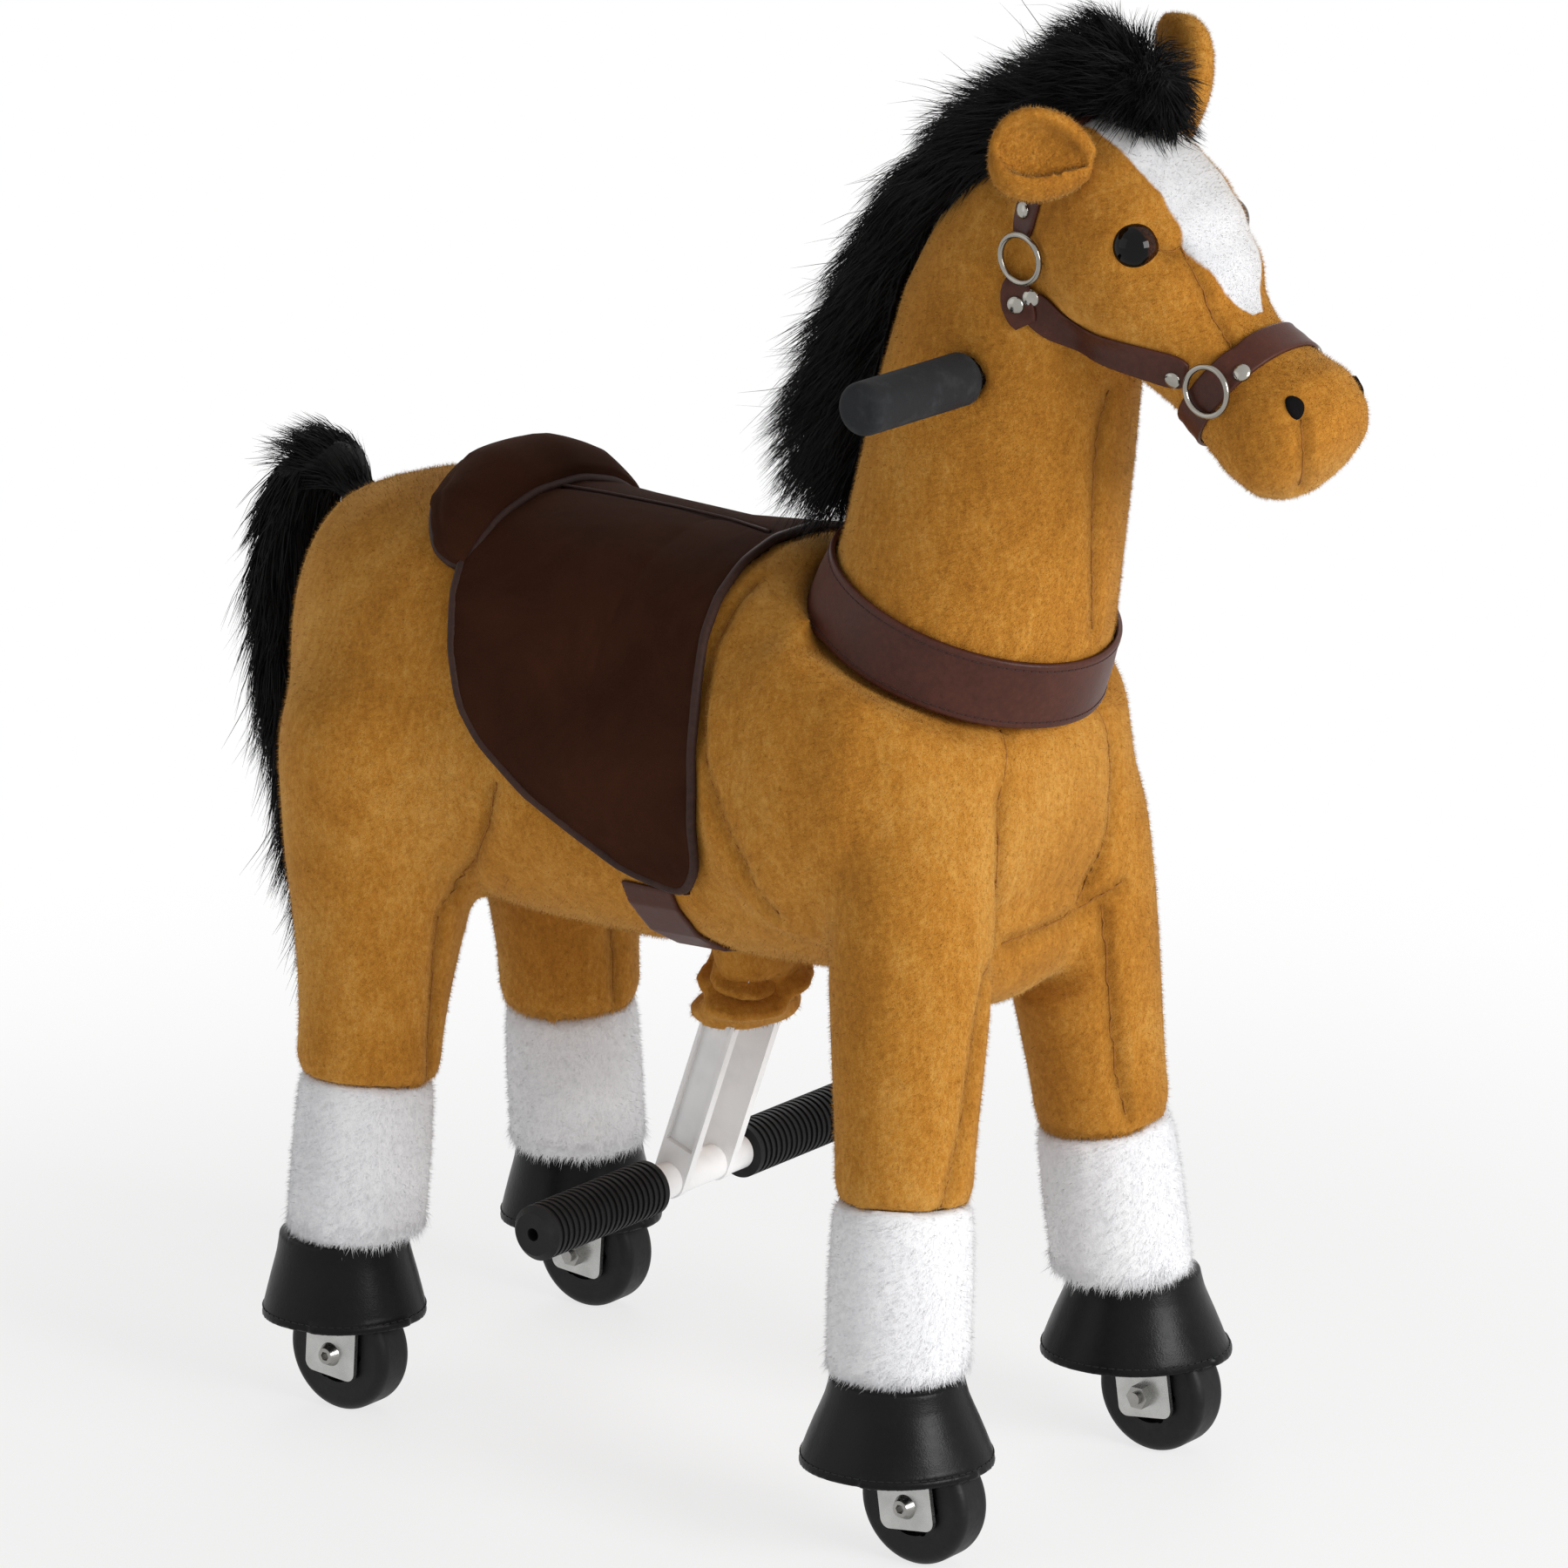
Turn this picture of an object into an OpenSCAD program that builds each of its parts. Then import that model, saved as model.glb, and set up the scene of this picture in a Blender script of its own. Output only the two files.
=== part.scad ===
// Ride on horse on four wheels. A stuffed horse is built over a steel frame. Its front legs and its
// footrest are one rocking piece, and its neck, head and handlebar turn together and steer the front forks.
// The horse faces +X, its left side is +Y, and the wheels stand on z = 0.

/* [Stance] */
// Distance between the front and rear axles
wheelbase = 435; // [410:1:460]
// Distance between the right and left wheel centres
track = 240; // [230:1:250]
// How far the middle of the wheelbase lies behind the origin
stance_setback = 20; // [10:1:30]

/* [Wheels] */
// Outer diameter of a wheel
wheel_d = 75; // [70:1:78]
// Width of a tyre
tyre_w = 28; // [26:0.5:29]
// Radius of the tread's rounded shoulders
tread_round = 6.5; // [5:0.5:7]
// Diameter of the hub that carries the tyre
hub_d = 46; // [43:1:50]
// Diameter of an axle bolt
axle_d = 8; // [7:0.5:9]
// Outer diameter of a wheel bearing
bearing_d = 22; // [20:1:24]
// Width of a wheel bearing
bearing_w = 7; // [6:0.5:8]
// Number of windows between the hub's spokes
hub_windows = 6; // [5:1:7]

/* [Forks] */
// Clear width between the plates of a fork
fork_gap = 32; // [31:0.5:34]
// Width of a fork plate
fork_plate_w = 38; // [34:1:42]
// Thickness of a fork plate
fork_plate_t = 3; // [2.5:0.5:4]
// How far a fork plate reaches below its axle
fork_plate_below = 14; // [12:1:17]
// Forward lean of the front fork plates
front_fork_lean = 8; // [0:1:10]
// Backward lean of the rear fork plates
rear_fork_lean = 4; // [0:1:8]
// How far the front axle lies ahead of its hoof
front_lead = 20; // [15:1:22]
// How far the rear axle lies ahead of its hoof
rear_lead = 8; // [4:1:14]
// Diameter of a fork stem
stem_d = 16; // [14:1:17]

/* [Hooves and socks] */
// Height of a hoof's rim above the floor
hoof_rim_z = 58; // [54:1:62]
// Height of a hoof
hoof_h = 52; // [48:1:56]
// Radius of a front hoof at its rim
front_hoof_rim_r = 57; // [56:0.5:60]
// Radius of a rear hoof at its rim
rear_hoof_rim_r = 50; // [48:0.5:54]
// How far the rear hooves stand inside their wheels
rear_hoof_inset = 5; // [0:0.5:6]
// Radius of a hoof at its top
hoof_top_r = 39; // [37:0.5:41]
// Thickness of a hoof's skirt
hoof_wall = 2.5; // [2:0.1:3]
// Length of a front sock along its leg
front_sock_l = 102; // [90:1:110]
// Length of a rear sock along its leg
rear_sock_l = 101; // [90:1:110]
// Radius of a sock
sock_r = 42; // [40:0.5:44]

/* [Legs] */
// Diameter of a leg tube
leg_tube_d = 25; // [23:0.5:28]
// Wall of a leg tube
leg_tube_wall = 2; // [1.5:0.1:2.5]
// Sideways place of the top of a front leg's axis
front_leg_top_y = 68; // [66:1:72]
// Sideways place of the top of a rear leg's axis
rear_leg_top_y = 74; // [70:1:80]
// How far a front leg's axis passes ahead of the rocking pivot
front_leg_ahead = 14; // [10:1:18]
// Place of the rear legs' cross tube along the horse
hip_x = -232; // [-240:1:-222]
// Radius of a front leg above its sock
front_leg_r = 38; // [36:0.5:40]
// Radius of a rear leg above its sock
rear_leg_r = 41.5; // [40:0.5:43]

/* [Rocking pivot] */
// Place of the rocking pivot along the horse
pivot_x = 138; // [134:1:142]
// Height of the rocking pivot
pivot_z = 445; // [440:1:450]
// Diameter of the pivot shaft
pivot_shaft_d = 20; // [18:1:22]
// Outer diameter of the pivot housing
pivot_housing_d = 40; // [36:1:42]
// Length of the pivot housing
pivot_housing_l = 68; // [60:1:72]
// Radius of the shoulder that rocks in the torso's side
shoulder_r = 104; // [100:1:106]
// Greatest rocking angle of the front legs
rock_angle = 13; // [8:1:14]

/* [Spine] */
// Outer diameter of the spine tube
spine_d = 32; // [28:1:36]
// Wall of the spine tube
spine_wall = 2.5; // [2:0.1:3]
// Height of the seat board's underside above the spine's axis
seat_rise = 52; // [46:1:58]
// Length of the seat board
seat_board_l = 260; // [240:1:280]
// Width of the seat board
seat_board_w = 100; // [94:1:102]
// Thickness of the seat board
seat_board_t = 12; // [9:1:15]

/* [Torso] */
// Length of the stuffed torso
torso_l = 550; // [540:1:562]
// Height of the torso from belly to back
torso_h = 252; // [246:1:258]
// Width of the torso
torso_w = 252; // [246:1:258]
// Place of the rump's rear end along the horse
rump_x = -342; // [-350:1:-336]
// Depth of the belly below the pivot
belly_drop = 136; // [133:1:141]
// Width of the chest panel between the shoulders
chest_w = 106; // [104:1:108]

/* [Saddle] */
// Thickness of the saddle pad
saddle_t = 7; // [5:0.5:9]
// Length of the saddle along the back
saddle_l = 200; // [190:1:202]
// Place of the saddle's rear edge along the horse
saddle_rear_x = -170; // [-180:1:-168]
// Height of the lower tips of the saddle's flaps above the belly
saddle_tip_rise = 57; // [47:1:67]
// Height of the cantle roll above the saddle
cantle_rise = 26; // [20:1:32]
// Width of the girth strap
girth_w = 38; // [32:1:44]
// Thickness of the girth strap
girth_t = 3; // [2:0.5:4]

/* [Steering] */
// Forward tilt of the steering axis
steer_tilt = 20; // [17:1:22]
// Place of the steering axis at the collar, along the horse
collar_x = 138; // [134:1:142]
// Height of the steering axis at the collar above the pivot
collar_rise = 86; // [82:1:92]
// Greatest steering angle each way
steer_angle = 22; // [15:1:25]
// Outer diameter of the steering column
column_d = 22; // [20:1:24]
// Outer diameter of the head tube
head_tube_d = 36; // [33:1:40]
// Distance of the handlebar above the collar along the steering axis
handlebar_rise = 163; // [156:1:170]
// Distance of the handlebar behind the steering axis
handlebar_back = 18; // [14:1:20]
// Length of the handlebar over its grips
handlebar_l = 320; // [300:1:340]
// Diameter of the handlebar tube
handlebar_d = 22; // [20:1:24]
// Diameter of a grip
grip_d = 31; // [29:1:34]
// Length of a grip
grip_l = 97; // [92:1:98]

/* [Neck] */
// Radius of the neck at the collar
neck_r = 86; // [83:1:88]
// Length of the neck along the steering axis
neck_l = 285; // [275:1:295]
// Width of the breast collar
collar_w = 42; // [36:1:46]
// Thickness of the breast collar
collar_t = 4; // [3:0.5:5]

/* [Head] */
// Length of the head from the back of the skull to the nose
head_l = 252; // [245:1:260]
// Height of the head at the brow
head_h = 118; // [114:1:122]
// Width of the head at the brow
head_w = 122; // [118:1:126]
// Downward slope of the head
head_slope = 39; // [36:1:42]
// Reach of the head's centre ahead of the neck's end
head_reach = 4.5; // [-1:0.5:10]
// Depth of the head's centre below the neck's end
head_drop = 22.8; // [17:0.1:28]
// Radius of an eye
eye_r = 14; // [12:0.5:15]
// Length of an ear
ear_l = 88; // [80:1:92]
// Width of an ear
ear_w = 54; // [48:1:60]
// Width of the halter straps
strap_w = 19; // [16:1:22]
// Thickness of the halter straps
strap_t = 3; // [2:0.5:4]

/* [Footrest] */
// Place of the footrest bar along the horse
footrest_x = -65; // [-72:1:-58]
// Height of the footrest bar
footrest_z = 154; // [148:1:162]
// Length of the footrest over its pegs
footrest_l = 310; // [300:1:320]
// Diameter of the footrest bar
footrest_d = 22; // [20:1:24]
// Outer diameter of a foot peg
peg_d = 34; // [31:1:36]
// Length of a foot peg
peg_l = 110; // [100:1:115]
// Number of grooves round a foot peg
peg_grooves = 20; // [16:1:24]
// Distance of each footrest arm from the middle
arm_y = 22; // [21:0.5:25]
// Width of a footrest arm
arm_w = 24; // [20:1:28]
// Thickness of a footrest arm
arm_t = 6; // [5:0.5:7]
// Place of the lever's cross tube behind the pivot
lever_back = 113; // [108:1:118]
// Drop of the lever's cross tube below the pivot
lever_drop = 40; // [38:1:44]

/* [Fur] */
// Half width of the mane
mane_r = 24; // [20:1:28]
// Length of the mane's crest
mane_rise = 34; // [28:1:40]
// Thickness of the tail
tail_r = 34; // [30:1:38]
// How far the tail stands out behind the rump
tail_reach = 62; // [56:1:64]
// Length of the hanging tail
tail_l = 300; // [280:1:320]

/* [Hidden] */
$fn = 64;

// Clearances: a running fit on a radius, a seat, a soft seat and a gap that cloth keeps over a travel
run_fit = 0.05;
seat_fit = 0.3;
soft_fit = 0.5;
sweep_gap = 2;
overrun = 1;
soft_room = [soft_fit, soft_fit, soft_fit];
// Turn of a tilted tube's seam away from the plane it leans in
seam_turn = 50;

// Places that follow from the driving sizes
axle_z = wheel_d / 2;
belly_z = pivot_z - belly_drop;
saddle_tip_z = belly_z + saddle_tip_rise;
collar_z = pivot_z + collar_rise;
front_axle_x = wheelbase / 2 - stance_setback;
rear_axle_x = -wheelbase / 2 - stance_setback;
wheel_y = track / 2;
front_hoof_x = front_axle_x - front_lead;
rear_hoof_x = rear_axle_x - rear_lead;
rear_hoof_y = wheel_y - rear_hoof_inset;
hoof_top_z = hoof_rim_z + hoof_h;
lever_place = [pivot_x - lever_back, 0, pivot_z - lever_drop];
footrest_place = [footrest_x, 0, footrest_z];
arm_run = lever_place - footrest_place;

// Looks of the materials
plush_colour = [0.69, 0.47, 0.19];
white_colour = [0.93, 0.93, 0.92];
fur_colour = [0.05, 0.05, 0.05];
saddle_colour = [0.22, 0.12, 0.08];
leather_colour = [0.36, 0.22, 0.18];
rubber_colour = [0.08, 0.08, 0.08];
grip_colour = [0.18, 0.18, 0.19];
zinc_colour = [0.78, 0.78, 0.76];
paint_colour = [0.86, 0.86, 0.85];
steel_colour = [0.30, 0.31, 0.33];
wood_colour = [0.72, 0.58, 0.38];
eye_colour = [0.12, 0.06, 0.03];

// Smooth tables and lofts
function between(a, b, c, d, t) =
  b + t / 2 * (c - a + t * (2 * a - 5 * b + 4 * c - d + t * (3 * (b - c) + d - a)));

function row_at(table, i) = table[max(0, min(len(table) - 1, i))];

function refined(table, steps) = [
  for (i = [0:len(table) - 2], k = [0:steps - 1])
    between(row_at(table, i - 1), table[i], table[i + 1], row_at(table, i + 2), k / steps),
  table[len(table) - 1]
];

function powered(value, power) = sign(value) * pow(abs(value), 2 / power);

function ring(place, across, up, half_across, half_up, power, sides) = [
  for (i = [0:sides - 1])
    let (turn = 360 * (i + 0.5) / sides)
      place + across * half_across * powered(cos(turn), power) + up * half_up * powered(sin(turn), power)
];

function flat(lists) = [for (list = lists) for (item = list) item];

function total(points, i = 0) = i < len(points) - 1 ? points[i] + total(points, i + 1) : points[i];

function average(points) = total(points) / len(points);

module loft(rings) {
  sides = len(rings[0]);
  count = len(rings);
  body = flat(rings);
  first_tip = sides * count;
  last_tip = first_tip + 1;
  skin = [
    for (i = [0:count - 2], j = [0:sides - 1])
      let (a = i * sides + j, b = i * sides + (j + 1) % sides)
        each [[a, b + sides, b], [a, a + sides, b + sides]]
  ];
  first_cap = [for (j = [0:sides - 1]) [j, (j + 1) % sides, first_tip]];
  last_start = (count - 1) * sides;
  last_cap = [for (j = [0:sides - 1]) [last_start + (j + 1) % sides, last_start + j, last_tip]];
  polyhedron(
    points = concat(body, [average(rings[0]), average(rings[count - 1])]),
    faces = concat(skin, first_cap, last_cap)
  );
}

// A solid turned about +Z from rows of height and radius
module turned(rows) {
  rotate_extrude()
    polygon(concat([[0, rows[0][0]]], [for (row = rows) [row[1], row[0]]], [[0, rows[len(rows) - 1][0]]]));
}

// A cylinder between two places
module rod(from, to, d) {
  run = to - from;
  translate(from)
    rotate([0, acos(run[2] / norm(run)), atan2(run[1], run[0])])
      rotate([0, 0, seam_turn])
        cylinder(d = d, h = norm(run));
}

module along_y(length, d) {
  rotate([90, 0, 0])
    cylinder(d = d, h = length, center = true);
}

module on_side(right) {
  mirror([0, right ? 1 : 0, 0])
    children();
}

module both_sides() {
  for (right = [false, true])
    on_side(right)
      children();
}

// Wheels
hub_w = fork_gap - 2 * seat_fit;
hub_rim_t = 4;
hub_boss_t = 4;
hub_dish = 8;
hub_window_d = 6;
hub_axle_room = 2;
hub_bore_d = axle_d + 2 * hub_axle_room;
hub_ring_r = (hub_d / 2 - hub_rim_t + bearing_d / 2 + hub_boss_t) / 2;

module at_wheel(x) {
  translate([x, wheel_y, axle_z])
    rotate([90, 0, 0])
      children();
}

module tyre(x) {
  outer = wheel_d / 2;
  inner = hub_d / 2 + run_fit;
  color(rubber_colour)
    at_wheel(x)
      rotate_extrude()
        union() {
          translate([inner, -tyre_w / 2])
            square([outer - tread_round - inner, tyre_w]);
          translate([inner, -tyre_w / 2 + tread_round])
            square([outer - inner, tyre_w - 2 * tread_round]);
          for (z = [-1, 1])
            translate([outer - tread_round, z * (tyre_w / 2 - tread_round)])
              circle(r = tread_round);
        }
}

module hub(x) {
  color(rubber_colour)
    at_wheel(x)
      difference() {
        union() {
          cylinder(d = hub_d, h = tyre_w, center = true);
          cylinder(d = bearing_d + 2 * hub_boss_t, h = hub_w, center = true);
        }
        cylinder(d = hub_bore_d, h = hub_w + overrun, center = true);
        for (z = [-1, 1]) {
          translate([0, 0, z * (hub_w - bearing_w + overrun) / 2])
            cylinder(d = bearing_d + 2 * run_fit, h = bearing_w + overrun, center = true);
          translate([0, 0, z * (hub_w - hub_dish) / 2])
            difference() {
              cylinder(d = hub_d - 2 * hub_rim_t, h = hub_dish, center = true);
              cylinder(d = bearing_d + 2 * hub_boss_t, h = hub_dish + overrun, center = true);
            }
        }
        for (i = [0:hub_windows - 1])
          rotate([0, 0, 360 * i / hub_windows])
            translate([hub_ring_r, 0, 0])
              cylinder(d = hub_window_d, h = hub_w, center = true);
      }
}

module bearings(x) {
  color(zinc_colour)
    at_wheel(x)
      for (z = [-1, 1])
        translate([0, 0, z * (hub_w - bearing_w) / 2])
          difference() {
            cylinder(d = bearing_d, h = bearing_w, center = true);
            cylinder(d = axle_d, h = bearing_w + overrun, center = true);
          }
}

// Forks and axle bolts
fork_round = 6;
crown_t = 4;
crown_rise = 26;
crown_z = hoof_rim_z + crown_rise;
crown_back = 13;
stem_reach = 12;
stem_top_z = hoof_top_z + stem_reach;
bolt_head_d = 15;
bolt_head_h = 5;
bolt_socket_d = 6;
bolt_socket_h = 3;
nut_w = 13;
nut_h = 7;
bolt_tail = 3;
fork_w = fork_gap + 2 * fork_plate_t;
shank_d = axle_d - 2 * run_fit;

module fork_plate(lean) {
  top = (crown_z + crown_t - axle_z) / cos(lean);
  rotate([0, -lean, 0])
    rotate([90, 0, 0])
      linear_extrude(fork_plate_t)
        union() {
          translate([-fork_plate_w / 2, -fork_plate_below + fork_round])
            square([fork_plate_w, top + fork_plate_below - fork_round]);
          translate([-fork_plate_w / 2 + fork_round, -fork_plate_below])
            square([fork_plate_w - 2 * fork_round, fork_round]);
          for (x = [-1, 1])
            translate([x * (fork_plate_w / 2 - fork_round), -fork_plate_below + fork_round])
              circle(r = fork_round);
        }
}

module fork(axle_x, hoof_x, hoof_y, lean) {
  crown_front = fork_plate_w / 2 - (crown_z - axle_z) * tan(lean);
  color(zinc_colour)
    difference() {
      union() {
        for (y = [-fork_gap / 2, fork_gap / 2 + fork_plate_t])
          translate([axle_x, wheel_y + y, axle_z])
            fork_plate(lean);
        translate([hoof_x - crown_back, wheel_y - fork_w / 2, crown_z])
          cube([axle_x + crown_front - hoof_x + crown_back, fork_w, crown_t]);
        translate([hoof_x, hoof_y, crown_z])
          cylinder(d = stem_d, h = stem_top_z - crown_z);
      }
      translate([axle_x, wheel_y, axle_z])
        along_y(fork_w + 2 * overrun, axle_d);
      translate([hoof_x, hoof_y, crown_z + crown_t])
        difference() {
          cylinder(r = 2 * fork_plate_w, h = stem_top_z);
          translate([0, 0, -overrun])
            cylinder(d = stem_d, h = stem_top_z + 2 * overrun);
        }
    }
}

module front_fork(right) {
  on_side(right)
    fork(front_axle_x, front_hoof_x, wheel_y, front_fork_lean);
}

module rear_fork(right) {
  on_side(right)
    fork(rear_axle_x, rear_hoof_x, rear_hoof_y, -rear_fork_lean);
}

module axle_bolt(x) {
  color(zinc_colour)
    translate([x, wheel_y, axle_z]) {
      difference() {
        union() {
          translate([0, -fork_w / 2 - nut_h - bolt_tail, 0])
            rotate([-90, 0, 0])
              cylinder(d = shank_d, h = fork_w + nut_h + bolt_tail);
          translate([0, fork_w / 2, 0])
            rotate([-90, 0, 0])
              cylinder(d1 = bolt_head_d, d2 = bolt_head_d - bolt_head_h, h = bolt_head_h);
        }
        translate([0, fork_w / 2 + bolt_head_h - bolt_socket_h, 0])
          rotate([-90, 0, 0])
            cylinder(d = bolt_socket_d, h = bolt_socket_h + overrun, $fn = 6);
      }
      translate([0, -fork_w / 2, 0])
        rotate([90, 0, 0])
          difference() {
            cylinder(d = nut_w / cos(30), h = nut_h, $fn = 6);
            cylinder(d = axle_d, h = 2 * nut_h + overrun, center = true);
          }
    }
}

module rear_axle_bolts() {
  both_sides()
    axle_bolt(rear_axle_x);
}

module front_axle_bolt(right) {
  on_side(right)
    axle_bolt(front_axle_x);
}

// Leg tubes: a slanted tube that bends to a level socket over the fork
ankle_sink = 4;
ankle_z = hoof_top_z - ankle_sink;
foot_rise = 20;
foot_z = hoof_top_z + foot_rise;
socket_gap = 4;
socket_z = crown_z + crown_t + socket_gap;
socket_wall = 2.5;
socket_d = leg_tube_d + 2 * socket_wall;
socket_lip = 4;
bush_flange_t = 2;
bush_l = 14;
tube_bore_d = leg_tube_d - 2 * leg_tube_wall;
ankle_back = 4;
ankle_in = 6;
front_ankle = [front_hoof_x - ankle_back, wheel_y - ankle_in, ankle_z];
rear_ankle = [rear_hoof_x + ankle_back, rear_hoof_y - ankle_in, ankle_z];
front_foot = [front_hoof_x, wheel_y, foot_z];
rear_foot = [rear_hoof_x, rear_hoof_y, foot_z];
front_leg_top = [pivot_x + front_leg_ahead, front_leg_top_y, pivot_z];
rear_leg_top = [hip_x, rear_leg_top_y, pivot_z];
front_leg_run = norm(front_leg_top - front_ankle);
rear_leg_run = norm(rear_leg_top - rear_ankle);

module ankle_socket(foot) {
  translate([foot[0], foot[1], socket_z])
    cylinder(d = socket_d, h = foot[2] + socket_lip - socket_z);
}

module ankle_bore(foot, d) {
  translate([foot[0], foot[1], socket_z - overrun])
    cylinder(d = d, h = stem_top_z + overrun + sweep_gap - socket_z);
}

module fork_bushes() {
  color(rubber_colour)
    both_sides()
      translate([front_hoof_x, wheel_y, socket_z])
        difference() {
          union() {
            translate([0, 0, -bush_flange_t])
              cylinder(d = socket_d, h = bush_flange_t);
            cylinder(d = tube_bore_d - 2 * run_fit, h = bush_l);
          }
          translate([0, 0, -bush_flange_t - overrun])
            cylinder(d = stem_d + 2 * run_fit, h = bush_l + bush_flange_t + 2 * overrun);
        }
}

// A frame that stands along a leg: its origin is the ankle and its +Z runs up the leg
module along_leg(ankle, top) {
  run = top - ankle;
  translate(ankle)
    rotate([0, acos(run[2] / norm(run)), atan2(run[1], run[0])])
      children();
}

module front_leg_frame() {
  color(steel_colour)
    difference() {
      union() {
        translate([pivot_x, 0, pivot_z])
          along_y(2 * front_leg_top_y + leg_tube_d, pivot_shaft_d);
        both_sides() {
          rod(front_foot, front_leg_top, leg_tube_d);
          ankle_socket(front_foot);
          translate([pivot_x, lever_y, pivot_z])
            rotate([90, 0, 0])
              lever_plate();
        }
        translate(lever_place)
          along_y(2 * lever_y, lever_tube_d);
      }
      both_sides()
        ankle_bore(front_foot, tube_bore_d);
    }
}

// The lever carries the footrest arms behind the pivot, outside the pivot housing
lever_t = 6;
lever_w = 22;
lever_tube_d = 18;
lever_y = pivot_housing_l / 2 + sweep_gap + lever_t;

module lever_plate() {
  run = [-lever_back, -lever_drop];
  linear_extrude(lever_t)
    union() {
      circle(d = pivot_shaft_d + lever_w / 2);
      translate(run)
        circle(d = lever_w);
      rotate([0, 0, atan2(run[1], run[0])])
        translate([0, -lever_w / 2])
          square([norm(run), lever_w]);
    }
}

// Spine, pivot housing, seat posts and steering head
seat_post_d = 25;
seat_post_share = 0.3;
seat_mid_x = saddle_rear_x + saddle_l / 2;
steer_axis = [sin(steer_tilt), 0, cos(steer_tilt)];
steer_across = [cos(steer_tilt), 0, -sin(steer_tilt)];
collar_mid = [collar_x, 0, collar_z];
split_drop = collar_w / 2 + sweep_gap;
column_bare = 10;
head_tube_top = split_drop + column_bare;
spine_cross = (collar_z - pivot_z) / cos(steer_tilt);
bush_t = 3;
pivot_bush_l = 16;
head_bush_l = 12;
hip_tube_d = 30;
hip_tube_l = 2 * rear_leg_top_y + leg_tube_d + 2 * socket_wall;

module spine_tube() {
  color(steel_colour)
    difference() {
      union() {
        rod([hip_x, 0, pivot_z], [pivot_x, 0, pivot_z], spine_d);
        translate([pivot_x, 0, pivot_z])
          along_y(pivot_housing_l, pivot_housing_d);
        for (side = [-1, 1])
          translate([seat_mid_x + side * seat_post_share * seat_board_l, 0, pivot_z])
            cylinder(d = seat_post_d, h = seat_rise);
      }
      rod([hip_x, 0, pivot_z], [pivot_x, 0, pivot_z], spine_d - 2 * spine_wall);
      translate([pivot_x, 0, pivot_z])
        along_y(pivot_housing_l + overrun, pivot_shaft_d + 2 * bush_t);
      translate([hip_x, 0, pivot_z])
        along_y(spine_d + overrun, hip_tube_d + 2 * run_fit);
      steering_frame()
        translate([0, 0, -spine_cross])
          cylinder(d = head_tube_d + 2 * run_fit, h = 2 * spine_cross);
    }
}

module frame_bushes() {
  color(rubber_colour) {
    pivot_bushes();
    head_bushes();
  }
}

module pivot_bushes() {
  translate([pivot_x, 0, pivot_z])
    for (side = [-1, 1])
      translate([0, side * (pivot_housing_l - pivot_bush_l) / 2, 0])
        difference() {
          along_y(pivot_bush_l, pivot_shaft_d + 2 * bush_t - 2 * run_fit);
          along_y(pivot_bush_l + overrun, pivot_shaft_d + 2 * run_fit);
        }
}

module steering_frame() {
  translate(collar_mid)
    rotate([0, steer_tilt, 0])
      children();
}

module head_tube() {
  color(steel_colour)
    difference() {
      steering_frame()
        difference() {
          translate([0, 0, -spine_cross])
            cylinder(d = head_tube_d, h = spine_cross - head_tube_top);
          translate([0, 0, -spine_cross - overrun])
            cylinder(d = column_d + 2 * bush_t, h = 2 * spine_cross);
        }
      translate([pivot_x, 0, pivot_z])
        along_y(pivot_housing_l + overrun, pivot_housing_d + 2 * run_fit);
    }
}

module head_bushes() {
  steering_frame()
    for (z = [-spine_cross + spine_d / 2, -head_tube_top - head_bush_l])
      translate([0, 0, z])
        difference() {
          cylinder(d = column_d + 2 * bush_t - 2 * run_fit, h = head_bush_l);
          translate([0, 0, -overrun])
            cylinder(d = column_d + 2 * run_fit, h = head_bush_l + 2 * overrun);
        }
}

module seat_board() {
  color(wood_colour)
    translate([seat_mid_x - seat_board_l / 2, -seat_board_w / 2, pivot_z + seat_rise])
      cube([seat_board_l, seat_board_w, seat_board_t]);
}

// Torsion springs round the pivot shaft, wound from a formula
spring_wire = 3;
spring_turns = 2;
spring_steps = 14;
spring_sides = 6;
spring_gap = 0.5;
spring_r = pivot_shaft_d / 2 + spring_wire / 2 + seat_fit;
spring_pitch = spring_wire + spring_gap;
spring_y = lever_y + sweep_gap + spring_wire / 2;

function spring_place(turn) = [
  pivot_x + spring_r * cos(360 * turn), spring_y + spring_pitch * turn, pivot_z + spring_r * sin(360 * turn)
];

module torsion_spring() {
  count = spring_turns * spring_steps;
  loft([
    for (i = [0:count])
      let (turn = i / spring_steps)
        ring(spring_place(turn), [cos(360 * turn), 0, sin(360 * turn)], [0, 1, 0],
          spring_wire / 2, spring_wire / 2, 2, spring_sides)
  ]);
}

module torsion_springs() {
  color(zinc_colour)
    both_sides()
      torsion_spring();
}

// Rear legs' frame, welded across the spine's rear end
module rear_leg_frame() {
  color(steel_colour)
    difference() {
      union() {
        translate([hip_x, 0, pivot_z])
          along_y(hip_tube_l, hip_tube_d);
        both_sides() {
          rod(rear_foot, rear_leg_top, leg_tube_d);
          ankle_socket(rear_foot);
        }
      }
      both_sides()
        ankle_bore(rear_foot, stem_d + 2 * run_fit);
    }
}

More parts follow.
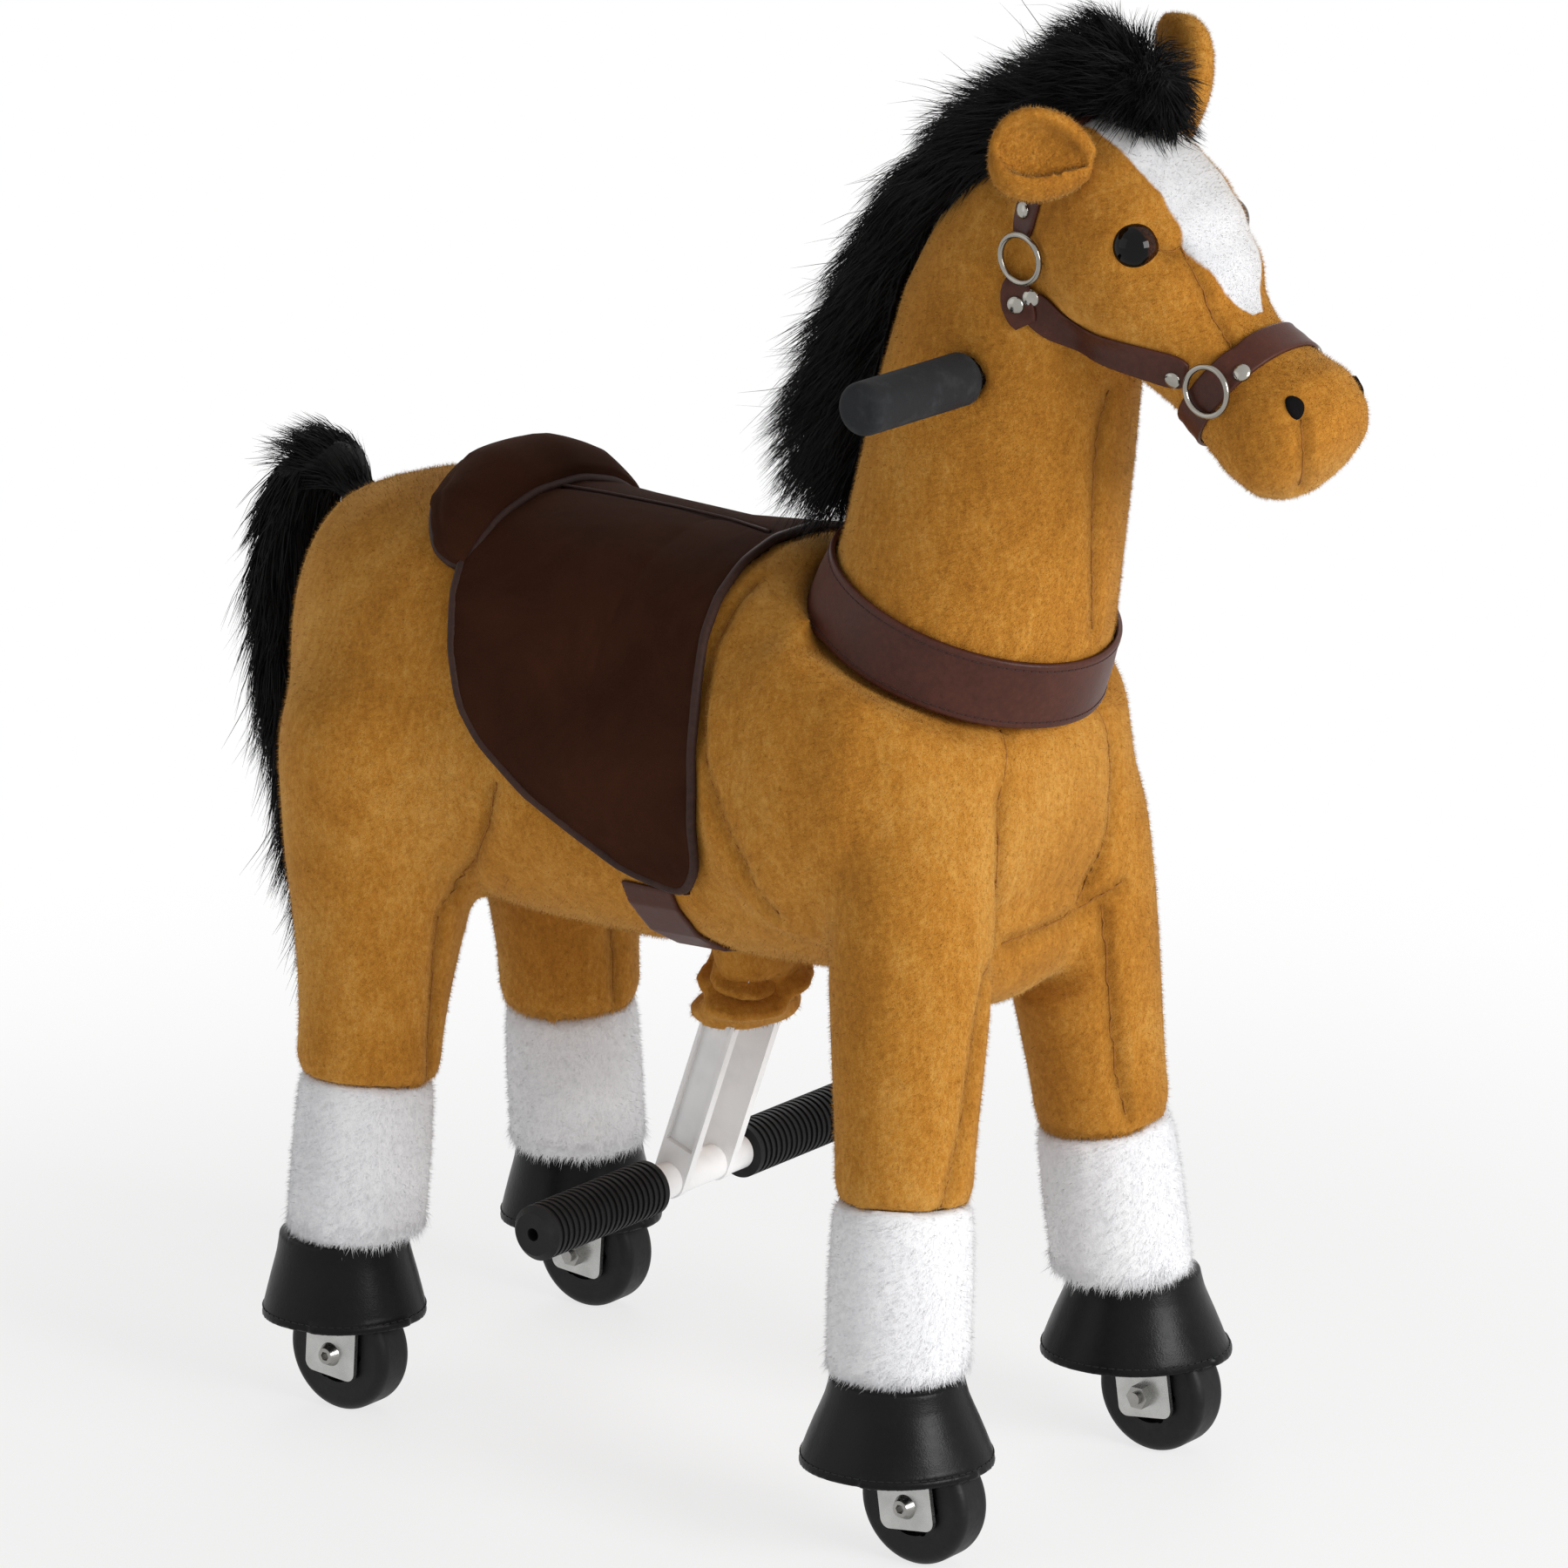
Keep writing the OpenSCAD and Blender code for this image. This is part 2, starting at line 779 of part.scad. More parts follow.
// Stuffed torso: rows of length, underside, back and half width, as shares of the torso's own sizes
torso_shares = [
  [0.000, 0.50, 0.72, 0.16],
  [0.020, 0.36, 0.84, 0.42],
  [0.065, 0.20, 0.94, 0.68],
  [0.140, 0.08, 0.99, 0.87],
  [0.240, 0.02, 1.00, 0.97],
  [0.380, 0.00, 0.985, 0.96],
  [0.530, 0.00, 0.975, 0.93],
  [0.660, 0.01, 1.00, 0.94],
  [0.770, 0.03, 1.00, 1.00],
  [0.870, 0.10, 0.98, 0.98],
  [0.940, 0.19, 0.90, 0.84],
  [0.982, 0.30, 0.77, 0.60],
  [1.000, 0.44, 0.62, 0.25]
];
torso_power = 2.3;
torso_sides = 24;

function torso_ring(row, grow, end) =
  let (
    low = belly_z + torso_h * row[1],
    high = belly_z + torso_h * row[2],
    place = [rump_x + torso_l * row[0] + grow * end, 0, (low + high) / 2]
  )
    ring(place, [0, 1, 0], [0, 0, 1], torso_w / 2 * row[3] + grow, (high - low) / 2 + grow,
      torso_power, torso_sides);

module torso_form(grow) {
  last = len(torso_shares) - 1;
  loft([for (i = [0:last]) torso_ring(torso_shares[i], grow, i == 0 ? -1 : i == last ? 1 : 0)]);
}

// The side of the torso is open round the shoulder, and below it where the leg rocks
bay_w = 2 * (lever_y + sweep_gap);
bay_rear_x = pivot_x - lever_back - arm_w - sweep_gap;
bay_front_x = pivot_x + pivot_housing_d / 2 + sweep_gap;
bay_top_z = pivot_z + pivot_housing_d / 2 + sweep_gap;
bay_floor_share = 0.17;
bay_floor_z = belly_z + torso_h * bay_floor_share;
belly_slot_w = 2 * (arm_y + arm_t + sweep_gap);
belly_slot_ahead = 62;
belly_arm_x = footrest_x + arm_run[0] * (belly_z - footrest_z) / arm_run[2];
shoulder_gate_share = 0.35;

module belly_slot() {
  translate([belly_arm_x - arm_w, -belly_slot_w / 2, belly_z - arm_w])
    cube([arm_w + belly_slot_ahead, belly_slot_w, bay_floor_z - belly_z + 2 * arm_w]);
}

module shoulder_pocket() {
  depth = torso_w / 2 - chest_w / 2;
  translate([pivot_x, chest_w / 2, pivot_z])
    rotate([-90, 0, 0])
      cylinder(r = shoulder_r + sweep_gap, h = 2 * depth);
  translate([pivot_x - shoulder_gate_share * shoulder_r, chest_w / 2, pivot_z - 2 * shoulder_r])
    cube([3 * shoulder_r, 2 * depth, 2 * shoulder_r]);
}

module neck_room() {
  steering_frame()
    translate([0, 0, -split_drop])
      cylinder(r = neck_r + collar_t + 2 * sweep_gap, h = neck_l);
}

module torso_plush() {
  color(plush_colour)
    difference() {
      torso_form(0);
      both_sides()
        shoulder_pocket();
      neck_room();
      translate([bay_rear_x, -bay_w / 2, bay_floor_z])
        cube([bay_front_x - bay_rear_x, bay_w, bay_top_z - bay_floor_z]);
      belly_slot();
      translate([pivot_x, 0, pivot_z])
        along_y(torso_w, pivot_housing_d + 2 * sweep_gap);
      rod([hip_x, 0, pivot_z], [pivot_x, 0, pivot_z], spine_d + 2 * soft_fit);
      translate([hip_x, 0, pivot_z])
        along_y(hip_tube_l + 2 * soft_fit, hip_tube_d + 2 * soft_fit);
      both_sides()
        rod(rear_foot, rear_leg_top, leg_tube_d + 2 * soft_fit);
      steering_frame()
        translate([0, 0, -spine_cross])
          cylinder(d = head_tube_d + 2 * soft_fit, h = spine_cross);
      for (side = [-1, 1])
        translate([seat_mid_x + side * seat_post_share * seat_board_l, 0, pivot_z])
          cylinder(d = seat_post_d + 2 * soft_fit, h = seat_rise);
      translate([seat_mid_x - seat_board_l / 2, -seat_board_w / 2, pivot_z + seat_rise] - soft_room)
        cube([seat_board_l, seat_board_w, seat_board_t] + 2 * soft_room);
    }
}

// Stuffed legs: rows of length along the leg and radius, as shares of the leg's run and of its radius
front_leg_shares = [
  [0.00, 1.00],
  [0.15, 1.03],
  [0.35, 1.12],
  [0.55, 1.20],
  [0.75, 1.28],
  [0.90, 1.20],
  [1.00, 0.90]
];
rear_leg_shares = [
  [0.00, 1.00],
  [0.15, 1.02],
  [0.35, 1.16],
  [0.55, 1.39],
  [0.75, 1.62],
  [0.90, 1.70],
  [1.00, 1.50]
];
// Swell of the shoulder over the torso, and room between the stuffed rear legs at the crotch
shoulder_swell = 3;
rear_leg_gap = 24;
leg_gate_drop = 17;
leg_gate_z = belly_z - leg_gate_drop;

module leg_form(shares, start, run, r) {
  rotate([0, 0, seam_turn])
    turned([for (row = refined(shares, 2)) [start + (run - start) * row[0], r * row[1]]]);
}

module shoulder_form() {
  intersection() {
    torso_form(shoulder_swell);
    translate([pivot_x, chest_w / 2 + sweep_gap, pivot_z])
      rotate([-90, 0, 0])
        cylinder(r = shoulder_r, h = torso_w);
  }
}

// The half space that the neck sweeps, seen from a leg rocked by an angle
module neck_sweep(angle) {
  translate([pivot_x, 0, pivot_z])
    rotate([0, angle, 0])
      translate([-pivot_x, 0, -pivot_z])
        steering_frame()
          translate([-torso_l, -torso_w, -split_drop - sweep_gap])
            cube([2 * torso_l, 2 * torso_w, neck_l]);
}

module front_leg_plush(right) {
  color(plush_colour)
    on_side(right)
      difference() {
        union() {
          shoulder_form();
          along_leg(front_ankle, front_leg_top)
            leg_form(front_leg_shares, front_sock_l + seat_fit, front_leg_run, front_leg_r);
        }
        neck_sweep(0);
        neck_sweep(rock_angle);
        translate([pivot_x - 2 * shoulder_r, -chest_w / 2 - sweep_gap, leg_gate_z])
          cube([4 * shoulder_r, chest_w + 2 * sweep_gap, 2 * shoulder_r]);
        translate([pivot_x, 0, pivot_z])
          along_y(2 * front_leg_top_y + leg_tube_d + 2 * soft_fit, pivot_shaft_d + 2 * soft_fit);
        rod(front_foot, front_leg_top, leg_tube_d + 2 * soft_fit);
        translate(front_leg_top)
          sphere(d = leg_tube_d + 2 * soft_fit + spring_wire);
      }
}

module rear_leg_plush(right) {
  color(plush_colour)
    on_side(right)
      difference() {
        along_leg(rear_ankle, rear_leg_top)
          leg_form(rear_leg_shares, rear_sock_l + seat_fit, rear_leg_run, rear_leg_r);
        torso_form(seat_fit);
        rod(rear_foot, rear_leg_top, leg_tube_d + 2 * soft_fit);
        translate([-torso_l, -torso_w, belly_z - torso_h])
          cube([2 * torso_l, torso_w + rear_leg_gap / 2, 2 * torso_h]);
      }
}

// Socks and hooves
sock_shares = [
  [0.00, 0.97],
  [0.26, 1.00],
  [0.60, 1.00],
  [0.88, 0.98],
  [1.00, 0.93]
];
hoof_hem_t = 1.5;
hoof_hem_h = 5;
hoof_flap_angle = 75;
hoof_shares = [
  [0.00, 0.00],
  [0.12, 0.06],
  [0.45, 0.45],
  [0.75, 0.82],
  [1.00, 1.00]
];
sock_tuck = 10;
sock_bore_d = socket_d + 2 * (ankle_back + ankle_in) + 2 * sweep_gap;

module sock(ankle, top, length) {
  bore_r = sock_bore_d / 2;
  outside = [for (row = sock_shares) [sock_r * row[1], (length + sock_tuck) * row[0] - sock_tuck]];
  difference() {
    along_leg(ankle, top)
      rotate([0, 0, seam_turn])
        rotate_extrude()
          polygon(concat([[bore_r, -sock_tuck]], outside, [[bore_r, length]]));
    translate([ankle[0] - 2 * sock_r, ankle[1] - 2 * sock_r, hoof_top_z + seat_fit - hoof_h])
      cube([4 * sock_r, 4 * sock_r, hoof_h]);
  }
}

module front_socks() {
  color(white_colour)
    both_sides()
      sock(front_ankle, front_leg_top, front_sock_l);
}

module rear_socks() {
  color(white_colour)
    both_sides()
      sock(rear_ankle, rear_leg_top, rear_sock_l);
}

module hoof(hoof_x, hoof_y, rim_r) {
  outside = [
    for (row = refined(hoof_shares, 2))
      [rim_r + (hoof_top_r - rim_r) * row[1], hoof_h * row[0]]
  ];
  inside = [
    for (i = [len(outside) - 1:-1:0])
      [outside[i][0] - hoof_wall, min(outside[i][1], hoof_h - hoof_wall)]
  ];
  top_bore = sock_bore_d / 2;
  color(rubber_colour)
    translate([hoof_x, hoof_y, hoof_rim_z]) {
      rotate_extrude()
        polygon(concat(outside, [[top_bore, hoof_h], [top_bore, hoof_h - hoof_wall]], inside));
      rotate_extrude(angle = hoof_flap_angle)
        translate([rim_r - hoof_wall, 0])
          square([hoof_wall + hoof_hem_t, hoof_hem_h]);
    }
}

module front_hoof(right) {
  on_side(right)
    hoof(front_hoof_x, wheel_y, front_hoof_rim_r);
}

module rear_hooves() {
  both_sides()
    hoof(rear_hoof_x, rear_hoof_y, rear_hoof_rim_r);
}

// Saddle: a pad over the back, with points of its flap as shares of its length and of its drop
saddle_shares = [
  [-0.03, 1.10],
  [0.00, 0.88],
  [0.08, 0.65],
  [0.13, 0.50],
  [0.21, 0.38],
  [0.38, 0.24],
  [0.56, 0.13],
  [0.73, 0.04],
  [0.92, 0.00],
  [0.99, 0.10],
  [1.00, 0.38],
  [0.99, 0.64],
  [0.94, 0.87],
  [0.90, 1.10]
];
saddle_drop = belly_z + torso_h - saddle_tip_z;

module saddle_outline() {
  translate([0, torso_w, 0])
    rotate([90, 0, 0])
      linear_extrude(2 * torso_w)
        polygon([
          for (row = saddle_shares)
            [saddle_rear_x + saddle_l * row[0], saddle_tip_z + saddle_drop * row[1]]
        ]);
}

module saddle_pad() {
  color(saddle_colour)
    difference() {
      intersection() {
        torso_form(saddle_t);
        saddle_outline();
      }
      torso_form(seat_fit);
    }
}

// The cantle is a padded roll across the rear of the saddle, thickest in the middle
cantle_w = 150;
cantle_drop = 62;
cantle_setback = 20;
cantle_x = saddle_rear_x - cantle_setback;
cantle_ahead_share = 0.15;
cantle_depth_share = 0.8;
cantle_end_share = 0.25;
cantle_steps = 14;
cantle_sides = 12;

module saddle_cantle() {
  color(saddle_colour)
    difference() {
      loft([
        for (i = [0:cantle_steps])
          let (
            angle = 90 - 180 * i / cantle_steps,
            swell = max(cantle_end_share, cos(angle)),
            place = [
              cantle_x + cantle_drop * (1 - cos(angle)) * cantle_ahead_share,
              cantle_w / 2 * sin(angle),
              belly_z + torso_h - cantle_drop + (cantle_drop + saddle_t) * cos(angle)
            ]
          )
            ring(place, [1, 0, 0], [0, sin(angle), cos(angle)],
              cantle_rise * cantle_depth_share * swell, cantle_rise * swell, 2, cantle_sides)
      ]);
      torso_form(saddle_t + seat_fit);
    }
}

girth_share = 0.76;

module girth_strap() {
  mid_x = saddle_rear_x + saddle_l * girth_share;
  color(leather_colour)
    difference() {
      intersection() {
        torso_form(girth_t);
        translate([mid_x - girth_w / 2, -torso_w, belly_z - torso_h])
          cube([girth_w, 2 * torso_w, torso_h + saddle_tip_z - belly_z]);
      }
      torso_form(seat_fit);
      saddle_outline();
      belly_slot();
    }
}

// Tail: a hank of long fur that stands out from the rump and hangs, as shares of its reach, length
// and thickness
tail_root_in = 22;
tail_root_share = 0.87;
tail_flat_share = 0.7;
tail_root = [rump_x + tail_root_in, 0, belly_z + torso_h * tail_root_share];
tail_shares = [
  [0.10, 0.00, 0.50],
  [-0.30, 0.10, 0.75],
  [-0.66, 0.06, 0.95],
  [-0.86, -0.10, 1.00],
  [-0.80, -0.32, 1.00],
  [-0.60, -0.60, 0.90],
  [-0.40, -0.88, 0.62],
  [-0.30, -1.00, 0.20]
];
tail_sides = 12;

module tail() {
  places = [for (row = tail_shares) tail_root + [tail_reach * row[0], 0, tail_l * row[1]]];
  last = len(tail_shares) - 1;
  color(fur_colour)
    difference() {
      loft([
        for (i = [0:last])
          let (
            step = places[min(last, i + 1)] - places[max(0, i - 1)],
            ahead = step / norm(step),
            side = [-ahead[2], 0, ahead[0]],
            half = tail_r * tail_shares[i][2]
          )
            ring(places[i], [0, 1, 0], side, half, half * tail_flat_share, 2, tail_sides)
      ]);
      torso_form(seat_fit);
    }
}

// Footrest
arm_wall = 2;
peg_hole_d = 8;
peg_groove = 1.2;
peg_end_round = 4;

module footrest_arms() {
  color(paint_colour)
    difference() {
      both_sides()
        translate([footrest_place[0], arm_y - arm_t / 2, footrest_place[2]])
          rotate([0, atan2(arm_run[0], arm_run[2]), 0])
            difference() {
              union() {
                translate([-arm_w / 2, 0, 0])
                  cube([arm_w, arm_t, norm(arm_run)]);
                for (z = [0, norm(arm_run)])
                  translate([0, 0, z])
                    rotate([-90, 0, 0])
                      cylinder(d = arm_w, h = arm_t);
              }
              translate([-arm_w / 2 + arm_wall, arm_wall, arm_w])
                cube([arm_w - 2 * arm_wall, arm_t, norm(arm_run) - 2 * arm_w]);
            }
      translate(lever_place)
        along_y(4 * arm_y, lever_tube_d + 2 * run_fit);
      translate(footrest_place)
        along_y(4 * arm_y, footrest_d + 2 * run_fit);
    }
}

module footrest_bar() {
  color(paint_colour)
    translate(footrest_place)
      along_y(footrest_l - peg_d, footrest_d);
}

module foot_peg(right) {
  pitch = (peg_l - 2 * peg_end_round) / peg_grooves;
  end_y = footrest_l / 2;
  color(rubber_colour)
    on_side(right)
      translate([footrest_x, end_y, footrest_z])
        rotate([90, 0, 0])
          difference() {
            rotate_extrude()
              polygon(concat(
                [[0, 0], [peg_d / 2 - peg_end_round, 0]],
                [for (i = [0:peg_grooves - 1])
                  let (y = peg_end_round + pitch * i)
                    each [
                      [peg_d / 2, y], [peg_d / 2, y + pitch / 2],
                      [peg_d / 2 - peg_groove, y + pitch / 2], [peg_d / 2 - peg_groove, y + pitch]
                    ]],
                [[peg_d / 2, peg_l - peg_end_round], [peg_d / 2, peg_l], [0, peg_l]]
              ));
            translate([0, 0, peg_d / 2 - run_fit])
              cylinder(d = footrest_d + 2 * run_fit, h = peg_l);
            translate([0, 0, -overrun])
              cylinder(d = peg_hole_d, h = peg_d);
          }
}

// Boot: a loose plush sleeve that hides where the arms leave the belly
boot_h = 50;
boot_wall = 5;
boot_shares = [
  [0.00, 0.86],
  [0.25, 1.00],
  [0.60, 0.98],
  [1.00, 0.84]
];
boot_r = arm_y + arm_t / 2 + boot_wall + 2 * sweep_gap;
boot_depth_share = 0.8;
boot_sides = 24;

boot_rings = [
  for (row = boot_shares)
    let (
      z = belly_z - sweep_gap - boot_h * (1 - row[0]),
      place = [footrest_x + arm_run[0] * (z - footrest_z) / arm_run[2], 0, z]
    )
      ring(place, [1, 0, 0], [0, 1, 0], boot_r * boot_depth_share * row[1], boot_r * row[1], 2, boot_sides)
];

module pedal_boot() {
  color(plush_colour)
    difference() {
      loft(boot_rings);
      translate([footrest_place[0], 0, footrest_place[2]])
        rotate([0, atan2(arm_run[0], arm_run[2]), 0])
          translate([-arm_w / 2 - soft_fit, -arm_y - arm_t / 2 - soft_fit, 0])
            cube([arm_w + 2 * soft_fit, 2 * arm_y + arm_t + 2 * soft_fit, norm(arm_run)]);
    }
}

// Steering column, handlebar and grips
column_foot = spine_cross - spine_d / 2 - sweep_gap;
grip_wall = (grip_d - handlebar_d) / 2;
grip_round = 6;

module steering_column() {
  color(steel_colour)
    steering_frame()
      difference() {
        translate([0, 0, -column_foot])
          cylinder(d = column_d, h = column_foot + handlebar_rise + handlebar_d);
        translate([-handlebar_back, 0, handlebar_rise])
          along_y(2 * column_d, handlebar_d + 2 * run_fit);
      }
}

module handlebar() {
  color(steel_colour)
    steering_frame()
      translate([-handlebar_back, 0, handlebar_rise])
        along_y(handlebar_l - 2 * grip_wall, handlebar_d);
}

module grip(right) {
  color(grip_colour)
    on_side(right)
      steering_frame()
        translate([-handlebar_back, handlebar_l / 2, handlebar_rise])
          rotate([90, 0, 0])
            difference() {
              rotate_extrude()
                union() {
                  translate([0, grip_round])
                    square([grip_d / 2, grip_l - grip_round]);
                  square([grip_d / 2 - grip_round, grip_l]);
                  translate([grip_d / 2 - grip_round, grip_round])
                    circle(r = grip_round);
                }
              translate([0, 0, grip_wall - run_fit])
                cylinder(d = handlebar_d + 2 * run_fit, h = grip_l);
            }
}

// Stuffed neck: rows of height, forward shift, half depth and half width, as shares of its length and radius
neck_shares = [
  [-0.090, 0.00, 1.00, 1.00],
  [0.000, 0.00, 1.00, 1.00],
  [0.100, -0.02, 0.97, 0.95],
  [0.250, -0.10, 0.97, 0.85],
  [0.450, -0.20, 0.95, 0.75],
  [0.620, -0.28, 0.90, 0.68],
  [0.780, -0.30, 0.80, 0.64],
  [0.900, -0.26, 0.66, 0.54],
  [0.970, -0.22, 0.48, 0.40],
  [1.000, -0.22, 0.22, 0.18]
];
neck_sides = 24;

function neck_ring(row, grow) =
  ring(collar_mid + steer_axis * neck_l * row[0] + steer_across * neck_r * row[1],
    steer_across, [0, 1, 0], neck_r * row[2] + grow, neck_r * row[3] + grow, 2, neck_sides);

module neck_form(grow) {
  loft([for (row = neck_shares) neck_ring(row, grow)]);
}

module neck_plush() {
  color(plush_colour)
    difference() {
      neck_form(0);
      steering_frame()
        translate([0, 0, -split_drop - neck_l + sweep_gap])
          cylinder(r = 2 * neck_r, h = neck_l);
      steering_frame()
        translate([0, 0, -column_foot])
          cylinder(d = column_d + 2 * soft_fit, h = column_foot + handlebar_rise + handlebar_d + soft_fit);
      steering_frame()
        translate([-handlebar_back, 0, handlebar_rise])
          along_y(handlebar_l, handlebar_d + 2 * soft_fit);
      head_form(seat_fit);
    }
}

// Stuffed head: rows of length, underside, topside and half width, as shares of the head's sizes
head_shares = [
  [-0.245, -0.10, 0.16, 0.20],
  [-0.215, -0.26, 0.34, 0.52],
  [-0.150, -0.38, 0.45, 0.78],
  [-0.040, -0.45, 0.54, 0.94],
  [0.090, -0.45, 0.53, 1.00],
  [0.200, -0.42, 0.42, 0.92],
  [0.310, -0.37, 0.31, 0.76],
  [0.410, -0.34, 0.27, 0.66],
  [0.510, -0.35, 0.30, 0.68],
  [0.610, -0.36, 0.36, 0.74],
  [0.690, -0.33, 0.33, 0.68],
  [0.735, -0.24, 0.25, 0.50],
  [0.755, -0.10, 0.12, 0.22]
];
head_power = 2.2;
head_sides = 24;
head_ahead = [cos(head_slope), 0, -sin(head_slope)];
head_up = [sin(head_slope), 0, cos(head_slope)];
head_mid = collar_mid + steer_axis * neck_l + [head_reach, 0, -head_drop];

function head_ring(row, grow, end) =
  let (
    low = head_h * row[1],
    high = head_h * row[2],
    place = head_mid + head_ahead * (head_l * row[0] + grow * end) + head_up * (low + high) / 2
  )
    ring(place, [0, 1, 0], head_up, head_w / 2 * row[3] + grow, (high - low) / 2 + grow,
      head_power, head_sides);

module head_form(grow) {
  last = len(head_shares) - 1;
  loft([for (i = [0:last]) head_ring(head_shares[i], grow, i == 0 ? -1 : i == last ? 1 : 0)]);
}

// The head's own frame: +X runs to the nose and +Z to the brow
module head_frame() {
  translate(head_mid)
    rotate([0, head_slope, 0])
      children();
}

eye_shares = [0.13, 0.72, 0.25];
eye_place = [head_l * eye_shares[0], head_w / 2 * eye_shares[1], head_h * eye_shares[2]];

module at_eyes() {
  both_sides()
    head_frame()
      translate(eye_place)
        children();
}

module eyes() {
  color(eye_colour)
    at_eyes()
      sphere(r = eye_r);
}

module head_plush() {
  color(plush_colour)
    difference() {
      head_form(0);
      at_eyes()
        sphere(r = eye_r + seat_fit);
    }
}

// Ears: a leaf with a hollow front, as shares of the ear's length and width
ear_shares = [
  [0.00, 0.55],
  [0.15, 0.82],
  [0.40, 1.00],
  [0.65, 0.86],
  [0.85, 0.52],
  [1.00, 0.12]
];
ear_t = 20;
ear_sides = 16;
ear_hollow_ahead_share = 0.62;
ear_hollow_w_share = 0.72;
ear_hollow_start_share = 0.12;
ear_hollow_l_share = 0.8;
ear_root_shares = [-0.06, 0.78, 0.28];
ear_root = [head_l * ear_root_shares[0], head_w / 2 * ear_root_shares[1], head_h * ear_root_shares[2]];
ear_turn = 126;
ear_tilt = 51;

module ear(right) {
  color(plush_colour)
    on_side(right)
      difference() {
        head_frame()
          translate(ear_root)
            rotate([0, -head_slope, 0])
              rotate([0, ear_tilt, ear_turn])
                rotate([0, 0, -90])
                  ear_form();
        head_form(seat_fit);
      }
}

module ear_form() {
  difference() {
    loft([
      for (row = ear_shares)
        ring([0, 0, ear_l * row[0]], [1, 0, 0], [0, 1, 0],
          ear_t / 2 * row[1], ear_w / 2 * row[1], 2, ear_sides)
    ]);
    loft([
      for (row = ear_shares)
        let (z = ear_l * (ear_hollow_start_share + ear_hollow_l_share * row[0]))
          ring([ear_t * ear_hollow_ahead_share, 0, z], [1, 0, 0], [0, 1, 0],
            ear_t / 2 * row[1], ear_w / 2 * ear_hollow_w_share * row[1], 2, ear_sides)
    ]);
  }
}

// Mane: a crest of long fur from the forelock over the poll and down the back of the neck. Its first rows
// follow the head and the others the neck, and each ends with a share of the mane's own size
mane_head_shares = [
  [-0.02, 0.56, 0.35],
  [-0.10, 0.63, 0.80],
  [-0.20, 0.58, 1.12]
];
mane_neck_shares = [
  [0.93, 0.94, 1.20],
  [0.78, 0.97, 1.15],
  [0.62, 1.03, 1.10],
  [0.45, 1.12, 1.10],
  [0.28, 1.20, 1.10],
  [0.17, 1.26, 0.80],
  [0.11, 1.28, 0.35]
];
mane_sides = 12;

function neck_row(share) = [for (k = [1:3]) lookup(share, [for (row = neck_shares) [row[0], row[k]]])];

function neck_back(share, reach) =
  let (row = neck_row(share))
    collar_mid + steer_axis * neck_l * share + steer_across * neck_r * (row[0] - row[1] * reach);

mane_rows = concat(
  [for (row = mane_head_shares)
    concat(head_mid + head_ahead * head_l * row[0] + head_up * head_h * row[1], [row[2]])],
  [for (row = mane_neck_shares) concat(neck_back(row[0], row[1]), [row[2]])]
);

module mane_form() {
  last = len(mane_rows) - 1;
  places = [for (row = mane_rows) [row[0], row[1], row[2]]];
  loft([
    for (i = [0:last])
      let (
        step = places[min(last, i + 1)] - places[max(0, i - 1)],
        ahead = step / norm(step),
        side = [-ahead[2], 0, ahead[0]],
        share = mane_rows[i][3]
      )
        ring(places[i], [0, 1, 0], side, mane_r * share, mane_rise * share, 2, mane_sides)
  ]);
}

module mane() {
  color(fur_colour)
    difference() {
      mane_form();
      neck_form(seat_fit);
      head_form(strap_t + seat_fit);
      steering_frame()
        translate([0, 0, -neck_l + collar_w / 2])
          cylinder(r = 2 * neck_r, h = neck_l + seat_fit);
    }
}

// Halter: a noseband, a cheek strap that slants to the jaw and a crown strap behind the ears. The places of
// the straps and of the rings on them are shares of the head's length and height
nose_ring_shares = [0.475, 0.02];
crown_ring_shares = [-0.05, -0.22];
crown_strap_shares = [-0.066, -0.24];
cheek_turn = 23;
crown_turn = 28;
cheek_l = 116;
throat_l = 34;

module halter_bands() {
  head_frame() {
    translate([head_l * nose_ring_shares[0] - strap_w / 2, -head_w, -head_h])
      cube([strap_w, 2 * head_w, 2 * head_h]);
    translate([head_l * nose_ring_shares[0], -head_w, head_h * nose_ring_shares[1]])
      rotate([0, -cheek_turn, 0])
        translate([-cheek_l, 0, -strap_w / 2])
          cube([cheek_l, 2 * head_w, strap_w]);
    translate([head_l * crown_strap_shares[0], -head_w, head_h * crown_strap_shares[1]])
      rotate([0, -crown_turn, 0])
        translate([-strap_w / 2, 0, -throat_l])
          cube([strap_w, 2 * head_w, head_h + throat_l]);
  }
}

module halter_straps() {
  color(leather_colour)
    difference() {
      intersection() {
        head_form(strap_t);
        halter_bands();
      }
      head_form(seat_fit);
      neck_form(seat_fit);
    }
}

ring_r = 14;
ring_wire = 3.5;
nose_ring_w_share = 0.68;
crown_ring_w_share = 0.857;
crown_ring_tilt = 6;

module halter_ring(shares, w_share, tilt) {
  y = head_w / 2 * w_share + strap_t + ring_wire / 2;
  translate([head_l * shares[0], y, head_h * shares[1]])
    rotate([90 - tilt, 0, 0])
      rotate_extrude()
        translate([ring_r, 0])
          circle(d = ring_wire);
}

module halter_hardware() {
  color(zinc_colour)
    both_sides()
      head_frame() {
        halter_ring(nose_ring_shares, nose_ring_w_share, 0);
        halter_ring(crown_ring_shares, crown_ring_w_share, crown_ring_tilt);
      }
}

module breast_collar() {
  color(leather_colour)
    steering_frame()
      translate([0, 0, -collar_w / 2])
        difference() {
          cylinder(r = neck_r + seat_fit + collar_t, h = collar_w);
          translate([0, 0, -overrun])
            cylinder(r = neck_r + seat_fit, h = collar_w + 2 * overrun);
        }
}

